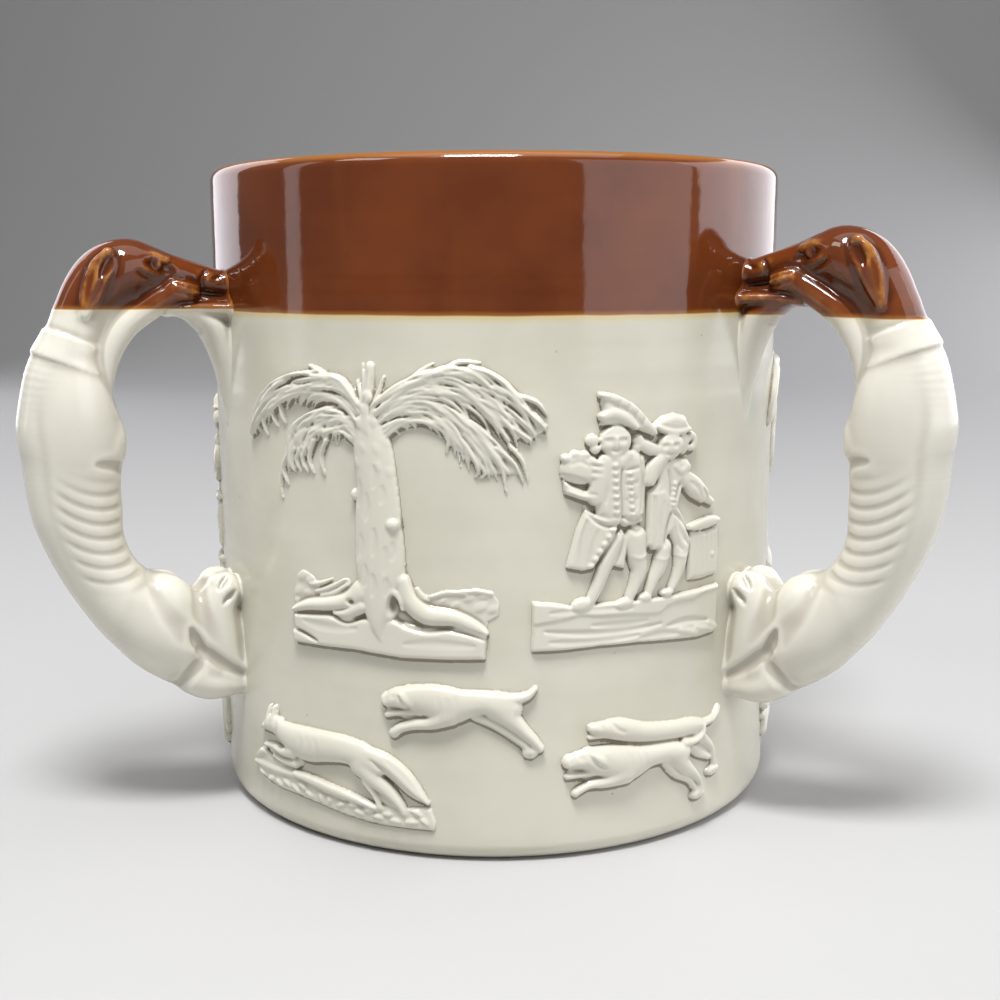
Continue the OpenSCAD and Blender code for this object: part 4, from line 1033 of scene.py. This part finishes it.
def with_mouth_and_paws(f, body):
    # Jaw laid on the strap, then mouth, lips and nostrils
    jaw = f.tube([(86, 133, 1.6, 3.6), (82, 131.9, 1.9, 4.4), (76, 131.2, 1.9, 4.8), (71, 131, 1.9, 4.8)])
    body = joined(body, jaw, 0.6)
    body += 1.0 * f.groove([(89, 135), (84, 133.6), (79.6, 132.6), (75.4, 132)], 1.0) * f.beyond(1.5, 3)
    body += 0.5 * f.groove([(76.4, 137), (78.6, 136.4)], 0.9) * f.beyond(1.2, 2.6)
    body += 0.6 * f.groove([(79.8, 138.8), (81.4, 136.4), (80.8, 134.2)], 0.9) * f.beyond(2, 3.4)
    # Paws, with toes that run along them
    body = joined(body, f.egg((86.2, 134), (4.6, 3.1), 12, 3.8, 4.0), 0.9)
    for k in range(3):
        low = 132.2 + 1.5 * k
        body += 0.5 * f.groove([(82, low), (85, low + 0.7), (88.4, low + 1.8)], 0.8) * f.beyond(3.5, 5.5)
    return body


def with_seat_on_wall(f, body):
    """Cuts the hound to the wall and leaves a fillet of slip round the joint."""
    rho = np.sqrt(f.r[:, None, :] ** 2 + f.y**2)
    seated = joined(body, rho - (CUP_R - SLIP), 1.4)
    seated = np.maximum(seated, body - 1.8)
    return np.maximum(seated, CUP_R - HANDLE_SUNK - rho)


def hound_field(f):
    body = joined(ribbed_torso(f), f.tube(HEAD), 1.6)
    for add in (with_collar_and_chest, with_haunches, with_forelegs_and_strap, with_ears_and_eyes,
                with_mouth_and_paws, with_seat_on_wall):
        body = add(f, body)
    return body


def without_pinches(field):
    """Places inside that meet only across a corner get a neighbour, so that no edge has four faces."""
    for first, second in ((0, 1), (0, 2), (1, 2)) * 2:
        flat = np.moveaxis(field, (first, second), (0, 1))
        a, b, c, d = flat[:-1, :-1], flat[:-1, 1:], flat[1:, :-1], flat[1:, 1:]
        b[(a < 0) & (d < 0) & (b >= 0) & (c >= 0)] = JUST_INSIDE
        a[(b < 0) & (c < 0) & (a >= 0) & (d >= 0)] = JUST_INSIDE
    return field


def surface_net(field, origin, step):
    """Points and four-sided faces of the zero surface of a grid of distances."""
    inside = field < 0
    shape = tuple(n - 1 for n in field.shape)
    total = [np.zeros(shape) for _ in range(3)]
    count = np.zeros(shape)
    quads = []
    places = np.meshgrid(*(np.arange(n, dtype=float) for n in field.shape), indexing="ij", sparse=True)
    crossings = []
    for axis in range(3):
        low = tuple(slice(None, -1) if k == axis else slice(None) for k in range(3))
        high = tuple(slice(1, None) if k == axis else slice(None) for k in range(3))
        cross = inside[low] != inside[high]
        gap = field[low] - field[high]
        t = np.where(cross, field[low] / np.where(gap == 0, 1, gap), 0)
        others = [k for k in range(3) if k != axis]
        for da in (0, 1):
            for db in (0, 1):
                part = [slice(None)] * 3
                part[others[0]] = slice(da, field.shape[others[0]] - 1 + da)
                part[others[1]] = slice(db, field.shape[others[1]] - 1 + db)
                part = tuple(part)
                hit = cross[part]
                count += hit
                for k in range(3):
                    spot = np.broadcast_to(places[k][low] if k == axis else places[k], cross.shape)[part]
                    total[k] += np.where(hit, spot + (t[part] if k == axis else 0), 0)
        crossings.append((cross, others))
    used = count > 0
    index = np.cumsum(used).reshape(shape) - 1
    points = np.stack([origin[k] + step * total[k][used] / count[used] for k in range(3)], axis=1)
    for axis, (cross, others) in enumerate(crossings):
        trim = [slice(None)] * 3
        for k in others:
            trim[k] = slice(1, -1)
        spots = np.argwhere(cross[tuple(trim)])
        for k in others:
            spots[:, k] += 1
        corners = []
        for da, db in ((1, 1), (0, 1), (0, 0), (1, 0)):
            at = spots.copy()
            at[:, others[0]] -= da
            at[:, others[1]] -= db
            corners.append(index[tuple(at.T)])
        face = np.stack(corners, axis=1)
        flip = inside[tuple(spots.T)] == (axis == 1)
        face[flip] = face[flip, ::-1]
        quads.append(face)
    return points, np.vstack(quads)


def sampled(grid, points, origin, step):
    """Values of a grid at points between its places."""
    p = (points - origin) / step
    base = np.clip(np.floor(p).astype(int), 0, np.array(grid.shape) - 2)
    f = p - base
    out = np.zeros(len(points))
    for corner in np.ndindex(2, 2, 2):
        weight = np.prod(np.where(corner, f, 1 - f), axis=1)
        out += weight * grid[tuple((base + corner).T)]
    return out


def hound_mesh():
    f = HoundField()
    field = without_pinches(hound_field(f))
    origin = np.array([f.out[0], f.across[0], f.up[0]])
    points, faces = surface_net(field, origin, HOUND_STEP)
    # The net is eased on to the true surface
    ease = 0.6
    slopes = np.gradient(field, HOUND_STEP)
    for _ in range(3):
        normal = np.stack([sampled(g, points, origin, HOUND_STEP) for g in slopes], axis=1)
        size = np.maximum((normal**2).sum(1), 0.05)
        points = points - ease * normal * (sampled(field, points, origin, HOUND_STEP) / size)[:, None]
    fine = sampled(blurred(field, 0.9 / HOUND_STEP), points, origin, HOUND_STEP)
    broad = sampled(blurred(field, 2.2 / HOUND_STEP), points, origin, HOUND_STEP)
    # Below 0 in hollows, where the cream gets staining and painted shade and the brown pools dark
    edge = np.clip(fine / 0.24 + broad / 2.2 - 0.75, -1, 1)
    return outward(new_mesh("hound_handle_moulded", points, faces, edge))


# Glazes

CREAM = (0.585, 0.565, 0.465, 1)
LIGHT_CREAM = (0.645, 0.625, 0.525, 1)
WARM_CREAM = (0.64, 0.605, 0.48, 1)
PALE_CREAM = (0.77, 0.74, 0.66, 1)
# Staining and painted shade in hollows, and glaze pool with painted shadow beneath sprig edges
STAIN_AND_SHADE_HOLLOW = (0.20, 0.165, 0.11, 1)
RUBBED_RIDGE = (0.69, 0.675, 0.59, 1)
IRON_SPECK = (0.13, 0.085, 0.05, 1)
TREACLE = (0.115, 0.026, 0.006, 1)
LIGHT_TREACLE = (0.158, 0.038, 0.009, 1)
BROWN_RUN = (0.21, 0.062, 0.014, 1)
BROWN_POOL = (0.080, 0.019, 0.005, 1)
AMBER = (0.37, 0.145, 0.032, 1)
AMBER_EDGE = (0.32, 0.12, 0.02, 1)
STRAW_FRINGE = (0.62, 0.48, 0.20, 1)
# How far the dip line wavers up and down, the width of its edges and the depth of the bump, in metres
DIP_WAVER = 0.0012
DIP_AMBER = 0.0013
DIP_EDGE = 0.00022
FRINGE_WIDTH = 0.0020
BUMP_DEPTH = 0.0006
DIP_ROUGHNESS = 0.07
GLAZE_IOR = 1.52


class Graph:
    """Short ways to add and join shader nodes."""

    def __init__(self, tree):
        self.tree = tree

    def add(self, kind, **settings):
        node = self.tree.nodes.new(kind)
        for key, value in settings.items():
            setattr(node, key, value)
        return node

    def feed(self, socket, value):
        if isinstance(value, bpy.types.NodeSocket):
            self.tree.links.new(value, socket)
        else:
            socket.default_value = value

    def math(self, operation, a, b):
        node = self.add("ShaderNodeMath", operation=operation)
        self.feed(node.inputs[0], a)
        self.feed(node.inputs[1], b)
        return node.outputs[0]

    def span(self, value, low, high, to_low=0.0, to_high=1.0):
        node = self.add("ShaderNodeMapRange", interpolation_type="SMOOTHSTEP")
        limits = {"From Min": low, "From Max": high, "To Min": to_low, "To Max": to_high}
        for name, given in {"Value": value, **limits}.items():
            self.feed(node.inputs[name], given)
        return node.outputs[0]

    def mix(self, share, a, b):
        node = self.add("ShaderNodeMix", data_type="RGBA")
        self.feed(node.inputs["Factor"], share)
        self.feed(node.inputs[6], a)
        self.feed(node.inputs[7], b)
        return node.outputs[2]

    def noise(self, vector, scale, detail, roughness=0.5):
        node = self.add("ShaderNodeTexNoise")
        self.feed(node.inputs["Vector"], vector)
        self.feed(node.inputs["Scale"], scale)
        self.feed(node.inputs["Detail"], detail)
        self.feed(node.inputs["Roughness"], roughness)
        return node.outputs[0]

    def group(self, tree, **values):
        node = self.add("ShaderNodeGroup", node_tree=tree)
        for name, value in values.items():
            self.feed(node.inputs[name], value)
        return node.outputs


def new_group(name, inputs, outputs):
    """A node group with number inputs and their first values, and with outputs of the kinds given."""
    tree = bpy.data.node_groups.new(name, "ShaderNodeTree")
    for socket, value in inputs.items():
        tree.interface.new_socket(socket, in_out="INPUT", socket_type="NodeSocketFloat").default_value = value
    for socket, kind in outputs.items():
        tree.interface.new_socket(socket, in_out="OUTPUT", socket_type=f"NodeSocket{kind}")
    graph = Graph(tree)
    return graph, graph.add("NodeGroupInput").outputs, graph.add("NodeGroupOutput").inputs


def buff_glaze_group():
    """Salt-glazed buff clay: cloudy cream, iron specks, staining and painted shade in hollows, thin glaze on
    ridges.
    """
    g, given, out = new_group("Buff salt glaze", {"Ridge": 0.0, "Stain": 0.5, "Specks": 1.0, "Pale": 0.0},
                              {"Color": "Color", "Height": "Float", "Gloss": "Float"})
    where = g.add("ShaderNodeTexCoord").outputs["Object"]
    cloud = g.noise(where, 38.0, 3.0)
    broad = g.noise(where, 13.0, 2.0)
    color = g.mix(g.span(cloud, 0.3, 0.7), CREAM, LIGHT_CREAM)
    color = g.mix(g.span(broad, 0.52, 0.78, 0.0, 0.4), color, WARM_CREAM)
    color = g.mix(given["Pale"], color, PALE_CREAM)
    # Darkened in hollows and beneath sprig edges: staining and glaze pool with painted shade
    hollow = g.math("MULTIPLY", g.span(given["Ridge"], -0.15, -0.95), given["Stain"])
    color = g.mix(hollow, color, STAIN_AND_SHADE_HOLLOW)
    color = g.mix(g.span(given["Ridge"], 0.2, 1.0, 0.0, 0.45), color, RUBBED_RIDGE)
    cells = g.add("ShaderNodeTexVoronoi")
    g.feed(cells.inputs["Vector"], where)
    g.feed(cells.inputs["Scale"], 150.0)
    dots = g.span(cells.outputs["Distance"], 0.075, 0.035)
    pick = g.add("ShaderNodeSeparateColor")
    g.feed(pick.inputs[0], cells.outputs["Color"])
    dots = g.math("MULTIPLY", dots, g.math("GREATER_THAN", pick.outputs[0], 0.88))
    strength = g.math("MULTIPLY", given["Specks"], g.span(pick.outputs[1], 0.0, 1.0, 0.35, 0.9))
    dots = g.math("MULTIPLY", dots, strength)
    color = g.mix(dots, color, IRON_SPECK)
    skin = g.noise(where, 420.0, 2.0)
    swell = g.noise(where, 95.0, 1.0)
    height = g.math("ADD", g.math("MULTIPLY", skin, 0.25), swell)
    height = g.math("SUBTRACT", height, g.math("MULTIPLY", dots, 0.6))
    g.feed(out["Color"], color)
    g.feed(out["Height"], height)
    g.feed(out["Gloss"], g.span(cloud, 0.25, 0.75, 0.16, 0.26))
    return g.tree


def brown_dip_group():
    """Treacle-brown dip above a level: amber where it runs thin, dark where it pools."""
    g, given, out = new_group(
        "Brown dip", {"Ridge": 0.0, "Break": 1.0, "Mottle": 0.0, "Tilt": 0.0, "Fringe": 0.6},
        {"Color": "Color", "Mask": "Float", "Halo": "Float"})
    where = g.add("ShaderNodeTexCoord").outputs["Object"]
    place = g.add("ShaderNodeSeparateXYZ")
    g.feed(place.inputs[0], where)
    wave = g.math("SUBTRACT", g.noise(where, 28.0, 3.0, 0.6), 0.5)
    above = g.math("SUBTRACT", place.outputs[2], DIP_Z * MM)
    above = g.math("ADD", above, g.math("MULTIPLY", place.outputs[0], given["Tilt"]))
    above = g.math("ADD", above, g.math("MULTIPLY", wave, DIP_WAVER))
    cloud = g.noise(where, 45.0, 3.0)
    streak = g.add("ShaderNodeMapping")
    g.feed(streak.inputs["Vector"], where)
    g.feed(streak.inputs["Scale"], (1.0, 1.0, 0.12))
    runs = g.noise(streak.outputs[0], 130.0, 2.0)
    color = g.mix(g.span(cloud, 0.3, 0.7), TREACLE, LIGHT_TREACLE)
    color = g.mix(g.span(runs, 0.55, 0.8, 0.0, 0.3), color, BROWN_RUN)
    thin = g.math("MULTIPLY", g.span(given["Ridge"], 0.2, 1.1), given["Break"])
    least = g.math("SUBTRACT", 1.0, given["Mottle"])
    thin = g.math("MULTIPLY", thin, g.span(g.noise(where, 300.0, 3.0, 0.6), 0.4, 0.62, least, 1.0))
    color = g.mix(thin, color, AMBER)
    pool = g.math("MULTIPLY", g.span(given["Ridge"], -0.1, -0.8), given["Break"])
    color = g.mix(pool, color, BROWN_POOL)
    color = g.mix(g.span(above, DIP_AMBER, 0.0, 0.0, 0.85), color, AMBER_EDGE)
    g.feed(out["Color"], color)
    g.feed(out["Mask"], g.span(above, -DIP_EDGE, DIP_EDGE))
    g.feed(out["Halo"], g.math("MULTIPLY", g.span(above, -FRINGE_WIDTH, -0.0002), given["Fringe"]))
    return g.tree


def glaze(name, stain_and_shade, specks, pale, broken, mottle, tilt, fringe, bump):
    """Buff clay below the dip line and brown above it."""
    material = bpy.data.materials.new(name)
    material.use_nodes = True
    g = Graph(material.node_tree)
    shader = material.node_tree.nodes["Principled BSDF"]
    ridge = g.add("ShaderNodeAttribute", attribute_name="edge").outputs["Fac"]
    clay = g.group(buff_glaze, Ridge=ridge, Stain=stain_and_shade, Specks=specks, Pale=pale)
    brown = g.group(brown_dip, Ridge=ridge, Break=broken, Mottle=mottle, Tilt=tilt, Fringe=fringe)
    below = g.mix(brown["Halo"], clay["Color"], STRAW_FRINGE)
    g.feed(shader.inputs["Base Color"], g.mix(brown["Mask"], below, brown["Color"]))
    rough = g.add("ShaderNodeMix", data_type="FLOAT")
    g.feed(rough.inputs[0], brown["Mask"])
    g.feed(rough.inputs[2], clay["Gloss"])
    g.feed(rough.inputs[3], DIP_ROUGHNESS)
    g.feed(shader.inputs["Roughness"], rough.outputs[0])
    relief = g.add("ShaderNodeBump")
    g.feed(relief.inputs["Strength"], bump)
    g.feed(relief.inputs["Distance"], BUMP_DEPTH)
    g.feed(relief.inputs["Height"], clay["Height"])
    g.feed(shader.inputs["Normal"], relief.outputs[0])
    shader.inputs["IOR"].default_value = GLAZE_IOR
    shader.inputs["Specular IOR Level"].default_value = 0.55
    return material


# Build

buff_glaze = buff_glaze_group()
brown_dip = brown_dip_group()
# The strength of darkening in hollows and beneath sprig edges is partly staining, partly painted shade
cup_glaze = glaze("cup_glaze", stain_and_shade=0.3, specks=0.8, pale=0.0, broken=0.7, mottle=0.0, tilt=0.004,
                  fringe=0.7, bump=0.10)
handle_glaze = glaze("handle_glaze", stain_and_shade=0.4, specks=0.9, pale=0.6, broken=1.0, mottle=0.75, tilt=0.012,
                     fringe=0.25, bump=0.12)
sprig_glaze = glaze("sprig_glaze", stain_and_shade=0.9, specks=0.5, pale=0.25, broken=0.0, mottle=0.0, tilt=0.0,
                    fringe=0.0, bump=0.10)

place(cup_mesh(), "cup_body_glazed", "cup_body", "cup_glaze", cup_glaze)

hound_shape = hound_mesh()
for third, (side, lift) in enumerate(HANDLE_LIFTS.items()):
    name = f"hound_handle_{side}"
    turn = HANDLE_TURN + THIRD * third
    place(hound_shape, f"{name}_moulded", name, "handle_glaze", handle_glaze, turn, lift)

hound_relief = hound()
sprigs = {"palm_tree": palm_tree(), "drinkers": drinkers(), "hound": hound_relief, "hound_pair": hound_pair()}
for third, side in enumerate(("front", "right", "left")):
    for kind, mesh in sprigs.items():
        name = f"{kind}_{side}"
        place(mesh, f"{name}_relief", name, "sprig_glaze", sprig_glaze, THIRD * third)
place(fox(), "fox_front_relief", "fox_front", "sprig_glaze", sprig_glaze)
for third, side in ((1, "right"), (2, "left")):
    name = f"last_hound_{side}"
    turn = THIRD * third + math.degrees(LAST_ALONG / CUP_R)
    place(hound_relief, f"{name}_relief", name, "sprig_glaze", sprig_glaze, turn, LAST_DROP)


# Stage: a pale floor that curves up behind, soft panels and the camera

# Camera: bearing round the cup, distance from its axis, height, pitch, roll and lens, fitted to the photo
CAMERA_TURN = -85.5
CAMERA_AWAY = 0.3732
CAMERA_HEIGHT = 0.1378
CAMERA_PITCH = 0.1701
CAMERA_ROLL = -0.0031
SENSOR_WIDTH = 36.0
LENS_PIXELS = 1351.0
FRAME_PIXELS = 1000.0
AXIS_PIXELS_LEFT = 5.0
# Height on the cup that the panels face
LIT_HEIGHT = 0.09
FLOOR_GREY = (0.46, 0.458, 0.455, 1)
STUDIO_GREY = (0.80, 0.80, 0.82, 1)
STUDIO_STRENGTH = 0.22


def plain_material(name, color, rough):
    material = bpy.data.materials.new(name)
    material.use_nodes = True
    shader = material.node_tree.nodes["Principled BSDF"]
    shader.inputs["Base Color"].default_value = color
    shader.inputs["Roughness"].default_value = rough
    return material


def pale_floor():
    """A floor that rises in a curve behind the cup."""
    half = 4.0
    back = 1.2
    bend = 0.9
    tall = 3.2
    steps = 12
    outline = [(-half, 0.0), (back, 0.0)]
    for k in range(1, steps + 1):
        a = math.radians(90 * k / steps)
        outline.append((back + bend * math.sin(a), bend - bend * math.cos(a)))
    outline.append((back + bend, tall))
    points = [(x, y, z) for y, z in outline for x in (-half, half)]
    faces = [(2 * i, 2 * i + 1, 2 * i + 3, 2 * i + 2) for i in range(len(outline) - 1)]
    mesh = bpy.data.meshes.new("floor")
    mesh.from_pydata(points, [], faces)
    mesh.shade_smooth()
    mesh.materials.append(plain_material("pale_floor", FLOOR_GREY, 0.8))
    floor = bpy.data.objects.new("floor", mesh)
    bpy.context.scene.collection.objects.link(floor)


def panel(name, turn, away, height, size, power, color=(1, 1, 1)):
    """A soft panel that faces the cup, at a bearing from the camera's line, to the right where positive."""
    light = bpy.data.lights.new(name, "AREA")
    light.shape = "RECTANGLE"
    light.size, light.size_y = size
    light.energy = power
    light.color = color
    lamp = bpy.data.objects.new(name, light)
    a = math.radians(CAMERA_TURN + turn)
    lamp.location = (away * math.cos(a), away * math.sin(a), height)
    aim = Vector((0, 0, LIT_HEIGHT)) - lamp.location
    lamp.rotation_euler = aim.to_track_quat("-Z", "Y").to_euler()
    bpy.context.scene.collection.objects.link(lamp)


def photo_camera():
    data = bpy.data.cameras.new("photo_camera")
    data.sensor_width = SENSOR_WIDTH
    data.sensor_fit = "HORIZONTAL"
    data.lens = SENSOR_WIDTH * LENS_PIXELS / FRAME_PIXELS
    data.shift_x = AXIS_PIXELS_LEFT / FRAME_PIXELS
    data.clip_start = 0.01
    camera = bpy.data.objects.new("photo_camera", data)
    a = math.radians(CAMERA_TURN)
    camera.location = (CAMERA_AWAY * math.cos(a), CAMERA_AWAY * math.sin(a), CAMERA_HEIGHT)
    level = math.cos(CAMERA_PITCH)
    aim = Vector((-math.cos(a) * level, -math.sin(a) * level, -math.sin(CAMERA_PITCH)))
    turn = aim.to_track_quat("-Z", "Y").to_matrix() @ Matrix.Rotation(CAMERA_ROLL, 3, "Z")
    camera.rotation_euler = turn.to_euler()
    bpy.context.scene.collection.objects.link(camera)
    bpy.context.scene.camera = camera


pale_floor()
panel("front_above", turn=-8, away=0.40, height=0.98, size=(0.32, 0.22), power=11)
panel("overhead", turn=15, away=0.2, height=1.35, size=(1.3, 1.0), power=5)
panel("right_front_window", turn=56, away=1.5, height=0.55, size=(1.35, 1.2), power=7.5,
      color=(0.97, 0.97, 1.0))
panel("right_side_window", turn=117, away=1.5, height=0.55, size=(2.1, 1.2), power=19,
      color=(0.95, 0.95, 1.0))
panel("left_strip", turn=-82, away=1.4, height=0.5, size=(0.2, 1.2), power=1.1,
      color=(0.95, 0.96, 1.0))
panel("left_back_window", turn=-133, away=1.3, height=0.5, size=(0.8, 1.2), power=6.5,
      color=(0.95, 0.94, 1.0))
panel("left_high", turn=-62, away=0.9, height=1.1, size=(0.4, 0.3), power=2)

world = bpy.data.worlds.new("studio")
world.use_nodes = True
air = world.node_tree.nodes["Background"]
air.inputs["Color"].default_value = STUDIO_GREY
air.inputs["Strength"].default_value = STUDIO_STRENGTH
bpy.context.scene.world = world
bpy.context.scene.view_settings.view_transform = "Standard"

photo_camera()
